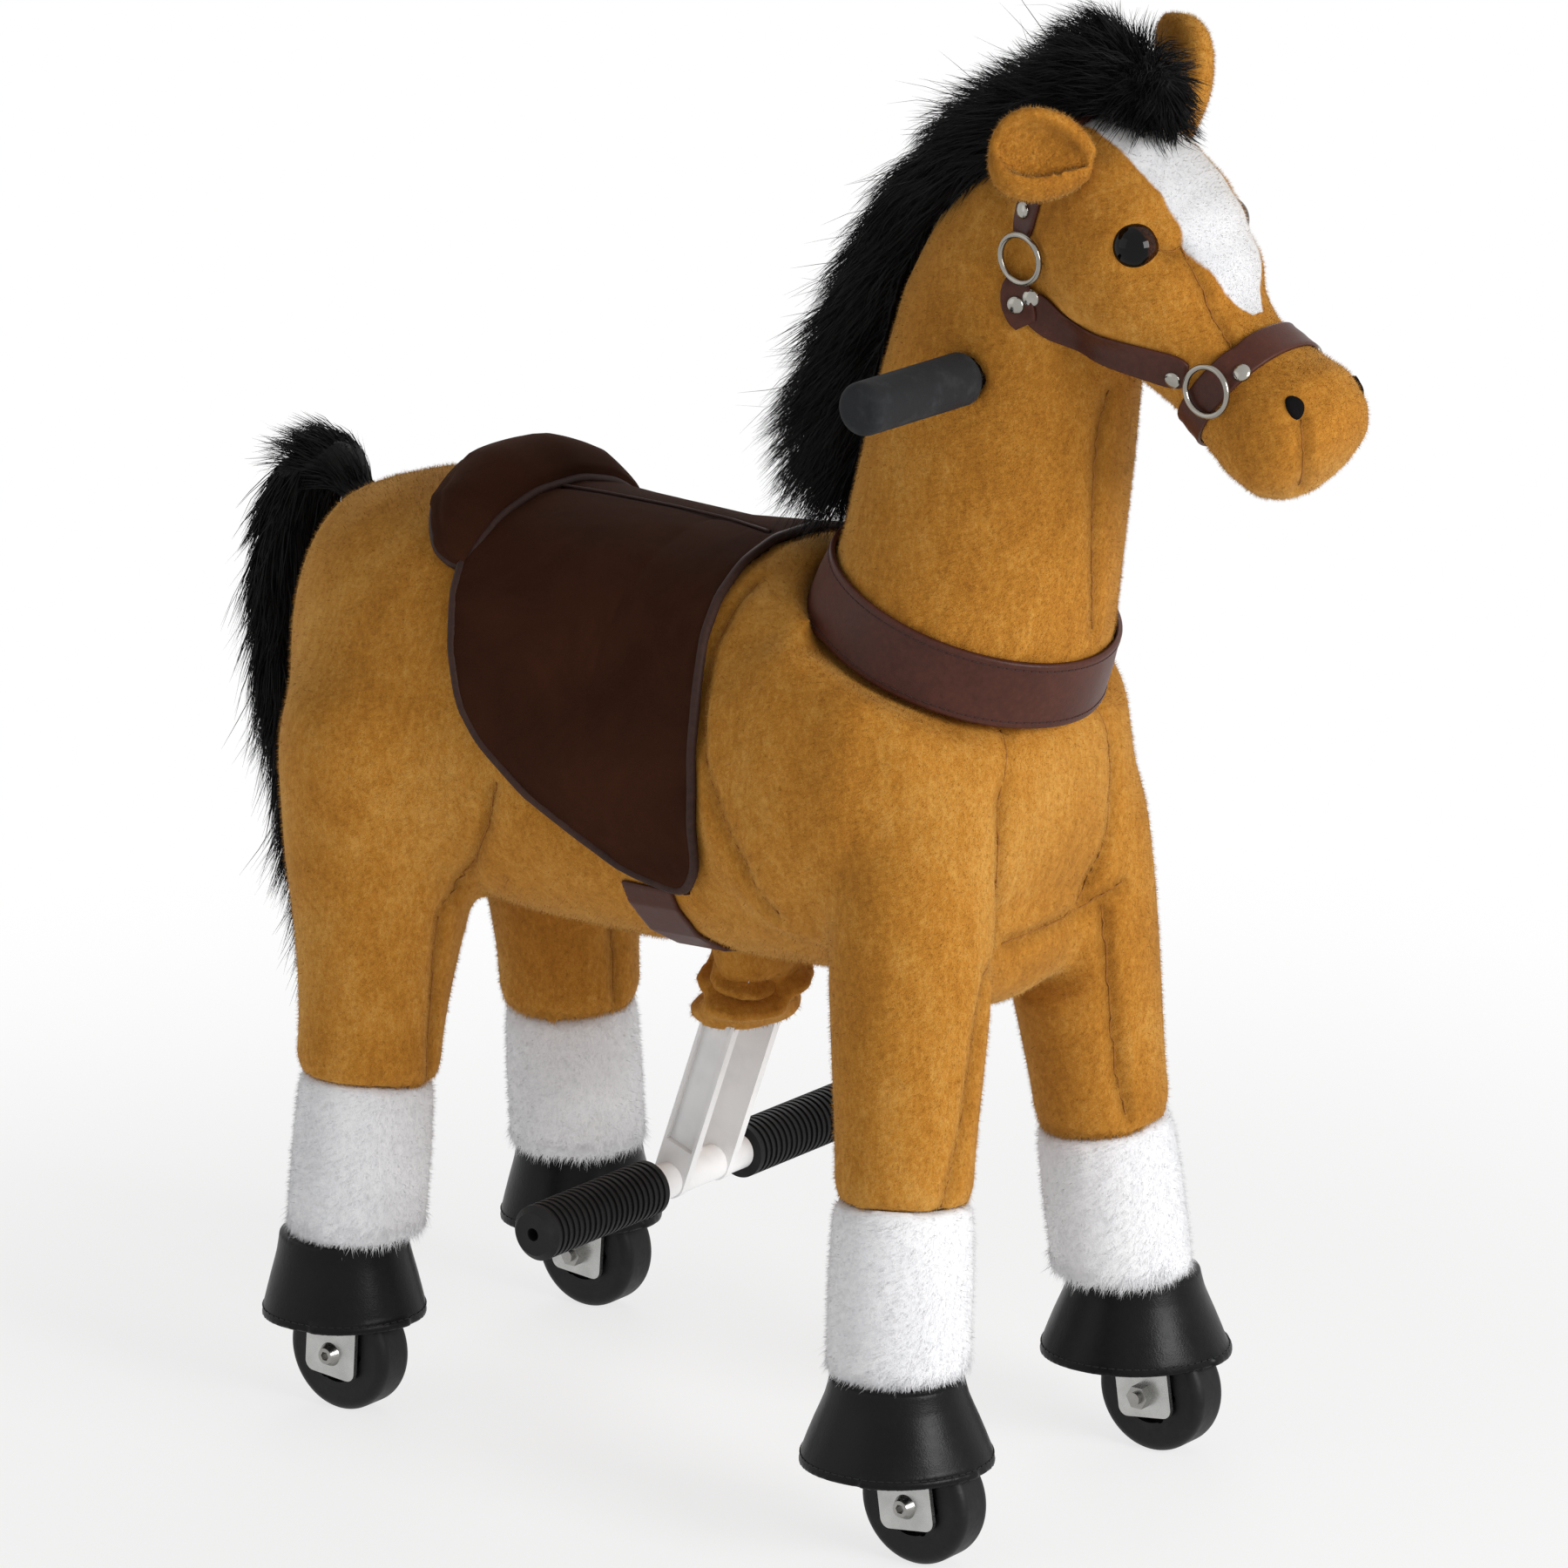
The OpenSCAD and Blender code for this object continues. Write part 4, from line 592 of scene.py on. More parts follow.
def cover(name, sources, t, lines, paint, body, slot, bald=None):  # a stuffed skin with seams and pile
    obj = remeshed(name, sources, t["voxel"], t["rounds"], t.get("swell", 0.0), t.get("lumps", ()))
    mesh = obj.data
    if "swell" in t:
        low, deep = sewn["legTop"]
        evenOut(mesh, sewn["legRounds"], ramp(pointsOf(mesh)[:, 2:], low, deep))
        calm(mesh, sewn["jointRounds"], jointShare(pointsOf(mesh)))
    pulled = nearness(mesh, treeOf(*(n for n in nodes if n not in sources)), *sewn["held"])
    seams = [line for line in lines(treeFrom(mesh)) if len(line) > 1]
    for line in seams:
        pulled = np.maximum(pulled, np.exp(-(farFrom(pointsOf(mesh), line) / sewn["pull"]) ** 2))
    stuffed(obj, pulled, t)
    # this weight also darkens the plush paint there, as painted shade in the seam grooves
    keep(mesh, "seam", seamed(mesh, seams, sewn["depth"], sewn["width"]))
    tree = treeFrom(mesh)
    bareOf(mesh, sources, bald(tree) if bald else ())
    finished(obj, paint, None, slot, sources)
    for k, coat in enumerate(t["pile"]):
        pile(obj, f"{name}.pile{k + 1}", *coat, body, slot, seams)
    seamThread(name + ".seams", tree, seams, body, slot)
    carried(obj, body)
    say(f"{name} with {len(mesh.polygons)} faces")
    return obj


def furPaint(name):
    paint = Paint(name)
    spot = paint.place()
    wisps = paint.grain(spot, 420.0, 2.0)
    waves = paint.grain(spot, 30.0, 2.0)
    colour = paint.mix(paint.range(wisps + waves * 0.6, 0.6, 1.15), *hair["tones"])
    return paint.surface({
        "Base Color": colour, "Roughness": paint.range(wisps, 0.2, 0.8, 0.5, 0.7),
        "Specular IOR Level": 0.14})


hair = {"tones": (rgb(6, 6, 6), rgb(19, 18, 19)), "steps": 3, "bend": 0.09, "close": 1.3, "ownRoot": 0.45,
        "thin": 0.92, "rounds": 8, "ripple": 60, "rippleDepth": 0.003, "fill": 0.5, "tuftReach": 0.03,
        "flatLength": (0.08, 0.92), "flatWidth": (0.2, 0.8)}


def locks(name, roots, ways, lengths, owner, t, dice, paint, body):  # ribbons of hair that close into tufts
    count, steps = len(roots), hair["steps"]
    path, way = [roots], ways.copy()
    bend = dice.normal(size=(count, 3)) * hair["bend"]
    for k in range(steps):
        way = unit(way + np.array([0, 0, -t["sag"]]) / steps + bend)
        path.append(path[-1] + way * (lengths / steps)[:, None])
    path = np.stack(path, 1)
    lead = path[owner]  # each tuft closes on its own first strand
    share = (np.linspace(0, 1, steps + 1) ** hair["close"] * t["draw"])[None, :, None]
    drift = (lead - lead[:, :1]) * (lengths / lengths[owner])[:, None, None]
    drift = drift + path[:, :1] * hair["ownRoot"] + lead[:, :1] * (1 - hair["ownRoot"])
    path = path * (1 - share) + drift * share
    side = unit(np.cross(unit(np.gradient(path, axis=1)), dice.normal(size=(count, 1, 3))))
    taper = (t["width"] * (1 - np.linspace(0, 1, steps + 1) ** 2 * hair["thin"]))[None, :, None] / 2
    rows = np.stack([path - side * taper, path + side * taper], 2)
    start = (np.arange(count) * (steps + 1) * 2)[:, None]
    k = np.arange(steps)[None, :] * 2 + start
    faces = np.stack([k, k + 1, k + 3, k + 2], 2).reshape(-1, 4)
    mesh = meshFrom(name, rows.reshape(-1, 3), faces)
    across, cell = squares(count)
    along, (left, right) = np.linspace(*hair["flatLength"], steps + 1), hair["flatWidth"]
    flat = np.empty((count, steps, 4, 2))
    for corner, (u, step) in enumerate(((left, 0), (right, 0), (right, 1), (left, 1))):
        flat[:, :, corner, 0] = (cell[:, :1] + u) / across
        flat[:, :, corner, 1] = (cell[:, 1:] + along[None, step:steps + step]) / across
    mesh.uv_layers.new(name="OFBake").data.foreach_set("uv", flat.astype(np.float32).ravel())
    return finished(link(name, mesh), paint, body, "fur")


def tufted(dice, roots, rise, tufts):  # gives each strand the tuft that it closes on
    many = len(roots)
    leads = dice.choice(many, tufts, replace=False)
    best, owner = np.full(many, 9.0), np.zeros(many, int)
    for lead in leads:
        gap = np.linalg.norm(roots - roots[lead], axis=1) + (1 - rise @ rise[lead]) * hair["tuftReach"]
        closer = gap < best
        best[closer], owner[closer] = gap[closer], lead
    owner[leads] = leads
    return owner


mane = {
    "voxel": 0.004, "shrink": 0.005, "strands": 30000, "tufts": 900, "length": (0.024, 0.044),
    "width": 0.0006, "sag": 0.5, "draw": 0.55, "seed": 21, "wisps": 160, "wispLength": (0.045, 0.065),
    "wisp": {"width": 0.0005, "sag": 0.4, "draw": 0.0}, "lean": math.radians(20), "poll": (0.80, 0.05),
    "brow": (0.246, 0.036), "along": 0.8, "back": (-0.55, 0, 0), "over": (-0.75, 0, 0.35),
    "forelock": (0.55, 0, -0.55),
    "stand": (0.4, 2.4), "stray": (0.14, 0.5), "longer": (1.3, 0.6), "browShort": 0.35, "wispRise": 0.5,
}
tail = {
    "voxel": 0.004, "shrink": 0.006, "strands": 30000, "tufts": 700, "length": (0.030, 0.066),
    "width": 0.0007, "sag": 0.5, "draw": 0.5, "seed": 22, "top": (3.5, 2.0), "stand": (0.22, 0.04),
    "stray": 0.10, "topShort": 0.38,
    "line": [(-0.314, 0, 0.528), (-0.339, 0, 0.558), (-0.361, 0, 0.546), (-0.373, 0, 0.498),
             (-0.370, 0, 0.432), (-0.357, 0, 0.348), (-0.345, 0, 0.264), (-0.339, 0, 0.228)],
}


def rooted(word, t, body):  # the core of a piece of hair, and where its strands stand
    dice, paint = np.random.default_rng(t["seed"]), furPaint(word + "Fur")
    base = remeshed(word + "Base", (word,), t["voxel"], hair["rounds"])
    mesh = base.data
    points = pointsOf(mesh) - normalsOf(mesh) * t["shrink"]
    ripple = np.array([noise.noise(Vector(p) * hair["ripple"]) for p in points])
    setPoints(mesh, points + normalsOf(mesh) * (ripple * hair["rippleDepth"])[:, None])
    finished(base, paint, body, "fur", (word,))
    return dice, paint, *scattered(mesh, t["strands"], dice)


def addMane():
    t = mane
    dice, paint, roots, rise = rooted("mane", t, "steering")
    crest = ramp(roots[:, 2], *t["poll"])[:, None]  # over the poll it is combed back
    front = ramp(roots[:, 0], *t["brow"])[:, None]  # and the forelock falls on the brow
    comb = -leaning(t["lean"]) * t["along"] + np.array(t["back"])
    comb = comb * (1 - crest) + np.array(t["over"]) * crest
    comb = comb * (1 - front) + np.array(t["forelock"]) * front
    stand, stray = (least + more * front * (1 - front) for least, more in (t["stand"], t["stray"]))
    ways = unit(rise * stand + comb + dice.normal(size=roots.shape) * stray)
    most, less = t["longer"]
    lengths = dice.uniform(*t["length"], len(roots)) * (most - less * crest[:, 0])
    lengths = lengths * (1 - t["browShort"] * front[:, 0])
    locks("maneHair", roots, ways, lengths, tufted(dice, roots, rise, t["tufts"]), t, dice, paint, "steering")
    chosen = dice.choice(np.flatnonzero(front[:, 0] == 0), t["wisps"], replace=False)
    lengths = dice.uniform(*t["wispLength"], len(chosen))
    ways = unit(ways[chosen] + rise[chosen] * t["wispRise"])
    alone = np.arange(len(chosen))
    locks("maneWisps", roots[chosen], ways, lengths, alone, t["wisp"], dice, paint, "steering")
    say("mane")


def addTail():
    t = tail
    dice, paint, roots, rise = rooted("tail", t, "body")
    line = np.array(t["line"])
    near = np.argmin(((roots[:, None, :] - line[None]) ** 2).sum(2), axis=1)
    (last, over), (stand, less) = t["top"], t["stand"]
    top = ramp(-near, -last, over)  # short and flat where it leaves the rump
    ways = runOf(line)[near] + rise * (stand - less * top)[:, None]
    ways = unit(ways + dice.normal(size=roots.shape) * t["stray"])
    lengths = dice.uniform(*t["length"], len(roots)) * (1 - t["topShort"] * top)
    locks("tailHair", roots, ways, lengths, tufted(dice, roots, rise, t["tufts"]), t, dice, paint, "body")
    say("tail")


def outerRim(source, under, least, sharp):  # a pad's longest sharp edge away from what carries it
    work = welded((source,))
    work.verts.ensure_lookup_table()
    ties = {}
    for e in work.edges:
        if len(e.link_faces) == 2 and e.calc_face_angle(0) > sharp:
            if min(under.find_nearest(v.co)[3] for v in e.verts) > least:
                a, b = (v.index for v in e.verts)
                ties.setdefault(a, []).append(b)
                ties.setdefault(b, []).append(a)
    lines, done = [], set()
    for first in sorted(ties):
        if first in done:
            continue
        line = [first]
        done.add(first)
        while True:
            following = sorted(v for v in ties[line[-1]] if v not in done)
            if not following:
                break
            line.append(following[0])
            done.add(following[0])
        lines.append(np.array([work.verts[i].co for i in line]))
    work.free()
    return max(lines, key=lambda r: np.linalg.norm(np.diff(r, axis=0), axis=1).sum())


def spaced(line, pitch, closed=False):  # a line with even steps
    line = np.asarray(line, float)
    if closed and np.linalg.norm(line[0] - line[-1]) > 1e-6:
        line = np.vstack([line, line[:1]])
    steps = np.linalg.norm(np.diff(line, axis=0), axis=1)
    moved = steps > 1e-7
    line, steps = line[np.concatenate([[True], moved])], steps[moved]
    whole = np.concatenate([[0], np.cumsum(steps)])
    many = max(2, int(round(whole[-1] / pitch)) + 1)
    at = np.linspace(0, whole[-1], many)
    return np.stack([np.interp(at, whole, line[:, k]) for k in range(3)], 1)


def softened(ring, rounds):  # smooths a ring of values or points
    for _ in range(rounds):
        ring = ring * 0.5 + (np.roll(ring, 1, 0) + np.roll(ring, -1, 0)) * 0.25
    return ring


def eased(line, rounds, closed=False):  # smooths a line, with its ends kept
    if closed:
        ring = softened(line[:-1], rounds)
        return np.vstack([ring, ring[:1]])
    line = line.copy()
    for _ in range(rounds):
        line[1:-1] = line[1:-1] * 0.5 + (line[2:] + line[:-2]) * 0.25
    return line


def even(line, pitch, rounds, closed=False):  # a line with even steps, smoothed
    return eased(spaced(line, pitch, closed), rounds, closed)


def runOf(line, closed=False):  # the way along a line at each of its points
    return unit(np.roll(line, -1, 0) - np.roll(line, 1, 0) if closed else np.gradient(line, axis=0))


def rings(many, sides, closed=False, ends=(True, True)):  # faces between rings, and across the end rings
    faces = []
    for i in range(many if closed else many - 1):
        j = (i + 1) % many
        for k in range(sides):
            m = (k + 1) % sides
            faces.append((i * sides + k, i * sides + m, j * sides + m, j * sides + k))
    if not closed and ends[0]:
        faces.append(tuple(range(sides))[::-1])
    if not closed and ends[1]:
        faces.append(tuple(range((many - 1) * sides, many * sides)))
    return faces


def tube(line, radius, sides=8, closed=False):  # a round cord along a line, as points and faces
    line = line[:-1] if closed else line
    run = runOf(line, closed)
    up = unit(np.cross(run, np.array([0.31, 0.22, 0.93])))  # across the run, whichever way that goes
    other = np.cross(run, up)
    turn = turns(sides)[None, :, None]
    points = line[:, None] + radius * (np.cos(turn) * up[:, None] + np.sin(turn) * other[:, None])
    return points.reshape(-1, 3), [face[:1] + face[:0:-1] for face in rings(len(line), sides, closed)]


def merged(parts):  # the points and faces of many parts as one
    points, faces, base = [], [], 0
    for p, f in parts:
        points.append(np.asarray(p))
        faces += [tuple(i + base for i in face) for face in f]
        base += len(p)
    return np.vstack(points), faces


def seenAt(tree, column, row):  # what a spot of the photograph shows on a form
    a, back, half = math.radians(view["azimuth"]), viewBack(), view["picture"] / 2
    right = Vector((math.cos(a), math.sin(a), 0))
    up = back.cross(right)
    step = view["sensor"] / view["lens"] / view["picture"]
    way = -back + right * ((column - half) * step) + up * ((half - row) * step)
    return tree.ray_cast(Vector(view["target"]) + back * view["distance"], way.normalized())


def treeFrom(mesh):
    faces = [tuple(f.vertices) for f in mesh.polygons]
    return BVHTree.FromPolygons([Vector(p) for p in pointsOf(mesh)], faces)


def suedePaint(name, low, high):
    paint = Paint(name)
    spot = paint.place()
    nap = paint.grain(spot, 2200.0, 2.0)
    clouds = paint.grain(spot, 14.0, 4.0, 0.6, 0.6)
    colour = paint.mix(paint.range(clouds * 0.65 + nap * 0.45, 0.35, 0.8), low, high)
    return paint.surface({
        # painted shade: the suede is darkened along the sunken seam groove
        "Base Color": colour * (1 - paint.seams() * 0.55),
        "Roughness": paint.range(nap, 0.2, 0.8, 0.86, 0.96),
        "Normal": paint.bump(nap, 0.0004, 0.5), "Sheen Weight": 0.06, "Sheen Roughness": 0.5,
        "Sheen Tint": high, "Specular IOR Level": 0.05})


def leatherPaint(name, low, high, gloss, shine):
    paint = Paint(name)
    spot = paint.place()
    pores = paint.cells(spot, 900.0)
    wrinkle = paint.grain(spot, 260.0, 3.0, 0.6)
    clouds = paint.grain(spot, 18.0, 3.0)
    colour = paint.mix(paint.range(clouds * 0.6 + wrinkle * 0.5, 0.35, 0.8), low, high)
    return paint.surface({
        # painted shade: the leather is darkened along any pulled-in seam groove
        "Base Color": colour * (1 - paint.seams() * 0.4),
        "Roughness": paint.range(clouds + wrinkle * 0.3, 0.4, 0.9, gloss - 0.06, gloss + 0.08),
        "Normal": paint.bump(pores * 0.5 + wrinkle, 0.0003, 0.35), "Specular IOR Level": shine})


def shaded(tone, share, lift=0.0):  # a colour made darker or lighter
    return tuple(min(1, c * share + lift) for c in tone[:3]) + (1,)


def threadPaint(name, tone):
    paint = Paint(name)
    twist = paint.node("ShaderNodeTexWave", None,
                       {"Vector": paint.place(), "Scale": 900.0, "Distortion": 2.0})
    # darker bands along the twist: painted shade between the plies of the thread
    return paint.surface({"Base Color": paint.mix(paint.axes(twist)[0], shaded(tone, 0.7), tone),
                          "Roughness": 0.7, "Specular IOR Level": 0.3})


def stitches(line, pitch, length, radius):  # a closed row of thread, stitch by stitch
    whole = spaced(line, pitch, True)
    shares, parts = np.array([-0.5, -0.3, 0.3, 0.5])[:, None], []
    for p, q in zip(whole[:-1], whole[1:]):
        way = (q - p) / (np.linalg.norm(q - p) + 1e-12)
        parts.append(tube((p + q) / 2 + way * length * shares, radius, 5))
    return parts


saddle = {
    "voxel": 0.002, "rounds": 6, "inset": 0.001, "pressure": 3.0, "cap": 0.003, "fill": 0.5, "piping": 0.0029,
    "held": (0.002, 0.006), "rimGap": 0.0035, "rimPitch": 0.005, "rimSunk": 0.35,
    "rimSharp": math.radians(40), "binding": (0.6, 0.15), "seamDepth": 0.0016, "seamWidth": 0.0032,
    "seamCord": 0.0011, "cordPitch": 0.004,
    "cantle": {"front": -0.167, "half": 0.086, "depth": 0.050, "end": 0.008, "edge": 0.0055, "rise": 0.024,
               "inset": 0.008, "groove": 0.0022, "grooveDepth": 0.0012, "foot": 0.0005, "above": 0.8,
               "across": 60, "deep": 22, "swell": (2.4, 0.6), "arch": (0.10, 0.80, 0.8)},
    "suede": (rgb(44, 23, 13), rgb(64, 36, 23)), "bindingTone": (rgb(44, 28, 24), rgb(64, 44, 38)),
    "seat": [(640, 556), (700, 566), (780, 582), (840, 596), (884, 610)],
}


def addSaddle():
    suede = suedePaint("saddleSuede", *saddle["suede"])
    binding = leatherPaint("saddleBinding", *saddle["bindingTone"], *saddle["binding"])
    under = treeOf("torso_plush")
    pad = remeshed("saddleSeat", ("saddle_pad",), saddle["voxel"], saddle["rounds"])
    held = nearness(pad.data, treeOf("torso_plush", "saddle_cantle"), *saddle["held"])
    stuffed(pad, held, saddle)
    rim = outerRim("saddle_pad", under, saddle["rimGap"], saddle["rimSharp"])
    rim = even(rim, saddle["rimPitch"], 4, True)
    seat = traced(treeFrom(pad.data), saddle["seat"])
    # this weight also darkens the suede there, as painted shade in the seam groove
    keep(pad.data, "seam", seamed(pad.data, seat, saddle["seamDepth"], saddle["seamWidth"]))
    finished(pad, suede, "body", "saddle", ("saddle_pad",))
    sunk = np.array([Vector(p).lerp(under.find_nearest(Vector(p))[0], saddle["rimSunk"]) for p in rim])
    cords = [tube(even(line, saddle["cordPitch"], 2), saddle["seamCord"], 6) for line in seat]
    built("saddlePiping", [tube(sunk, saddle["piping"], 8, True)] + cords, binding, "body", "saddle")
    addCantle(suede, binding, under)
    say("saddle")


def addCantle(suede, binding, under):  # a half moon of padding behind the seat
    t = saddle["cantle"]
    across, deep, (wide, soft), (start, span, arch) = t["across"], t["deep"], t["swell"], t["arch"]
    top, foot = [], []
    for i in range(across + 1):
        u = 2 * i / across - 1
        depth = t["depth"] * math.sqrt(max(0.0, 1 - u * u)) + t["end"]
        swell = max(0.0, 1 - abs(u) ** wide) ** soft
        for k in range(deep + 1):
            v = k / deep
            over = Vector((t["front"] - depth * v, t["half"] * u, t["above"]))
            place, out = (np.array(w) for w in under.ray_cast(over, Vector((0, 0, -1)))[:2])
            rise = t["edge"] + t["rise"] * swell * math.sin(math.pi * (start + span * v)) ** arch
            rims = (depth * (1 - v), t["half"] * (1 - abs(u)))
            groove = sum(math.exp(-((rim - t["inset"]) / t["groove"]) ** 2) for rim in rims)
            top.append(place + out * (rise - t["grooveDepth"] * min(1, groove)))
            foot.append(place + out * t["foot"])
    row = deep + 1
    many = (across + 1) * row
    faces = []
    for i in range(across):
        for k in range(deep):
            a, b, c, d = i * row + k, i * row + k + 1, (i + 1) * row + k + 1, (i + 1) * row + k
            faces += [(a, b, c, d), (many + d, many + c, many + b, many + a)]
    ring = list(range(row)) + [i * row + deep for i in range(1, across + 1)]
    ring += [across * row + k for k in range(deep - 1, -1, -1)] + [i * row for i in range(across - 1, 0, -1)]
    faces += [(many + a, many + b, b, a) for a, b in zip(ring, ring[1:] + ring[:1])]
    cantle = built("saddleCantle", [(top + foot, faces)], suede, "body", "saddle", ("saddle_cantle",))
    edge = np.array([(top[a] + foot[a]) * 0.5 for a in ring])
    cord = tube(even(edge, saddle["cordPitch"], 4, True), saddle["piping"], 8, True)
    built("cantlePiping", [cord], binding, "body", "saddle")


strap = {
    "leather": (rgb(62, 32, 24), rgb(80, 44, 34)), "gloss": 0.42, "shine": 0.18, "thread": rgb(58, 34, 30),
    "collarCentre": (0.138, 0.0, 0.531), "tilt": math.radians(20), "collarRadius": 0.0864,
    "collarWidth": 0.042, "collarThick": 0.0036, "halterWidth": 0.020, "halterThick": 0.0026,
    "girth": (0.0015, 5), "chrome": (rgb(160, 157, 150), 0.12, 0.05), "turnStep": 4,
    "cheek": [(1180, 342), (1198, 362), (1228, 382), (1269, 400), (1310, 414), (1340, 424), (1364, 431)],
    "throat": [(1170, 320), (1166, 338), (1170, 356), (1180, 372)],
    "rivets": [(1349, 434), (1427, 430), (1185, 341), (1179, 241), (1168, 349)], "rivetRadius": 0.0052,
    "rivetLift": 0.0022, "rivetSides": 20,
    "profile": [(0, 0.15), (0, 0.6), (0.4, 0.9), (1.2, 1.0)], "edge": 0.45, "hemDip": 0.86, "threadUp": 0.9,
    "collarLevels": (0.4, -0.45), "leanRounds": 14, "leanShare": 0.35, "endSlim": 0.65,
    "rivet": [(1.0, 0.0), (1.0, 0.22), (0.93, 0.36), (0.72, 0.5), (0.4, 0.58), (0.12, 0.6)],
    "hem": 0.0042, "stitch": (0.0052, 0.0040, 0.00042), "collarReach": (0.074, 0.096),
    "collarGap": (0.0012, 0.004), "noseAt": 0.475, "nose": (-0.008, 0.12, 0, 360),
    "crownAt": (-0.066, -0.24), "crownLean": math.radians(28), "crown": (0.03, 0.15, -20, 201),
    "endTaper": 0.010, "off": 0.0004, "pitch": 0.004, "probe": 0.02, "around": 160,
}


def profileOf(width, thick):  # the section of a strap with rounded edges
    half, edge = width / 2, thick * strap["edge"]
    side = [(half - edge * inset, thick * up) for inset, up in strap["profile"]]
    side.append((half - strap["hem"], thick * strap["hemDip"]))
    return [(-u, h) for u, h in side] + [(0, thick)] + side[::-1] + [(0, 0.0)]


def addCollar(trees, leather, thread):
    axis, turn = leaning(strap["tilt"]), turns(strap["around"])
    ahead, side = np.array([math.cos(strap["tilt"]), 0, -math.sin(strap["tilt"])]), np.array([0, 1.0, 0])
    out = np.cos(turn)[:, None] * ahead + np.sin(turn)[:, None] * side
    centre, width, thick = np.array(strap["collarCentre"]), strap["collarWidth"], strap["collarThick"]
    least, start = strap["collarReach"]
    gap, spare = strap["collarGap"]

    def reach(level):  # how far out the neck lies at a level of the band
        middle, found = centre + axis * level, []
        for d in out:
            hits = [tree.ray_cast(Vector(middle + d * start), Vector(-d))[0] for tree in trees]
            found.append(max([least] + [(np.array(hit) - middle) @ d for hit in hits if hit is not None]))
        return softened(np.minimum(np.array(found) + gap, strap["collarRadius"] + spare), 10)
    high, low = (reach(width * level) for level in strap["collarLevels"])

    def lay(u, h):
        share = u / width + 0.5
        return centre + axis * u + out * (low * (1 - share) + high * share + h)[:, None]
    section = profileOf(width, thick)
    band = (np.stack([lay(u, h) for u, h in section], 1).reshape(-1, 3), rings(len(turn), len(section), True))
    built("breastCollar", [band], leather, "steering", "strap", ("breast_collar",))
    for edge, word in ((-1, "Low"), (1, "High")):
        line = lay(edge * (width / 2 - strap["hem"]), thick * strap["threadUp"])
        built("collarThread" + word, stitches(line, *strap["stitch"]), thread, "steering", "strap")


def bothOf(hits):  # the places that rays found, and the ways out there
    return tuple(np.array([hit[k] for hit in hits if hit[0] is not None]) for k in (0, 1))


def laid(tree, place, up, far, first, last):  # rays round a form, to a middle in it
    middle = place(0, up)
    turn = np.radians(np.arange(first, last, strap["turnStep"]))
    starts = [place(far * math.cos(t), up + far * math.sin(t)) for t in turn]
    return bothOf([tree.ray_cast(start, middle - start) for start in starts])


def strapOn(name, tree, rows, out, closed, leather, lean=None):  # a band along places on a form
    width, section = strap["halterWidth"], profileOf(strap["halterWidth"], strap["halterThick"])
    both = (softened if closed else eased)(np.hstack([rows, out]), 4)
    rows, out = both[:, :3], unit(both[:, 3:])
    if lean is not None:  # a stiff strap that stands off below the cheek
        out = unit(eased(out, strap["leanRounds"]) * strap["leanShare"] + lean)
    run = runOf(rows, closed)
    across = unit(np.cross(out, run))
    out = unit(np.cross(run, across))
    levels = []
    for u in (-width / 2, 0, width / 2):  # the strap bends over the form to both sides
        drop = []
        for p, a, n in zip(rows, across, out):
            hit = tree.ray_cast(Vector(p + a * u + n * strap["probe"]), Vector(-n), strap["probe"] * 2)[0]
            drop.append(0.0 if hit is None else float((np.array(hit) - p) @ n))
        levels.append(np.array(drop) if lean is None else eased(np.array(drop), 8))
    slim, points, least = np.ones(len(rows)), [], strap["endSlim"]
    if not closed:  # its ends are rounded
        along = np.concatenate([[0], np.cumsum(np.linalg.norm(np.diff(rows, axis=0), axis=1))])
        slim = ramp(np.minimum(along, along[-1] - along), 0, strap["endTaper"]) ** 0.5 * (1 - least) + least
    for u, h in section:
        t = u / (width / 2)
        bow = np.where(t < 0, levels[0] - levels[1], levels[2] - levels[1]) * t * t
        sink = levels[1] + (bow if lean is None else np.maximum(bow, 0))
        points.append(rows + across * (u * slim)[:, None] + out * (h + sink + strap["off"])[:, None])
    band = (np.stack(points, 1).reshape(-1, 3), rings(len(rows), len(section), closed))
    return built(name, [band], leather, "steering", "strap")


def addHalter(tree, leather, chrome):
    nose = strap["noseAt"] * headPlace["length"]
    back, low = strap["crownAt"][0] * headPlace["length"], strap["crownAt"][1] * headPlace["height"]
    c, s = math.cos(strap["crownLean"]), math.sin(strap["crownLean"])

    def onNose(side, up):
        return onHead(nose, side, up)

    def onCrown(side, up):
        return onHead(back - up * s, side, low + up * c)
    noseband = strapOn("halterNoseband", tree, *laid(tree, onNose, *strap["nose"]), True, leather)
    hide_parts("halter_straps")
    for k, (side, word) in enumerate(((-1, "Right"), (1, "Left"))):
        for part in ("cheek", "throat"):
            line = even(traced(tree, strap[part], True)[k], strap["pitch"], 4)
            found = bothOf([tree.find_nearest(Vector(p)) for p in line])
            strapOn(f"halter{part.title()}{word}", tree, *found, False, leather, np.array([0, side, 0]))
    strapOn("halterCrown", tree, *laid(tree, onCrown, *strap["crown"]), False, leather)
    places, ways = bothOf([seenAt(tree, *spot) for spot in strap["rivets"]])
    parts = [dome(place * flip, way * flip) for place, way in zip(places, ways) for flip in (1, mirror)]
    built("halterRivets", parts, chrome, "steering", "steel")
    say("halter")


def dome(place, out):  # a rivet's rounded head
    out, radius, sides = unit(out), strap["rivetRadius"], strap["rivetSides"]
    a = unit(np.cross(out, [0.2, 0.3, 0.9]))
    b = np.cross(out, a)
    points = [place + out * (strap["rivetLift"] + h * radius)
              + (a * math.cos(t) + b * math.sin(t)) * r * radius
              for r, h in strap["rivet"] for t in turns(sides)]
    return points, rings(len(strap["rivet"]), sides, False, (False, True))


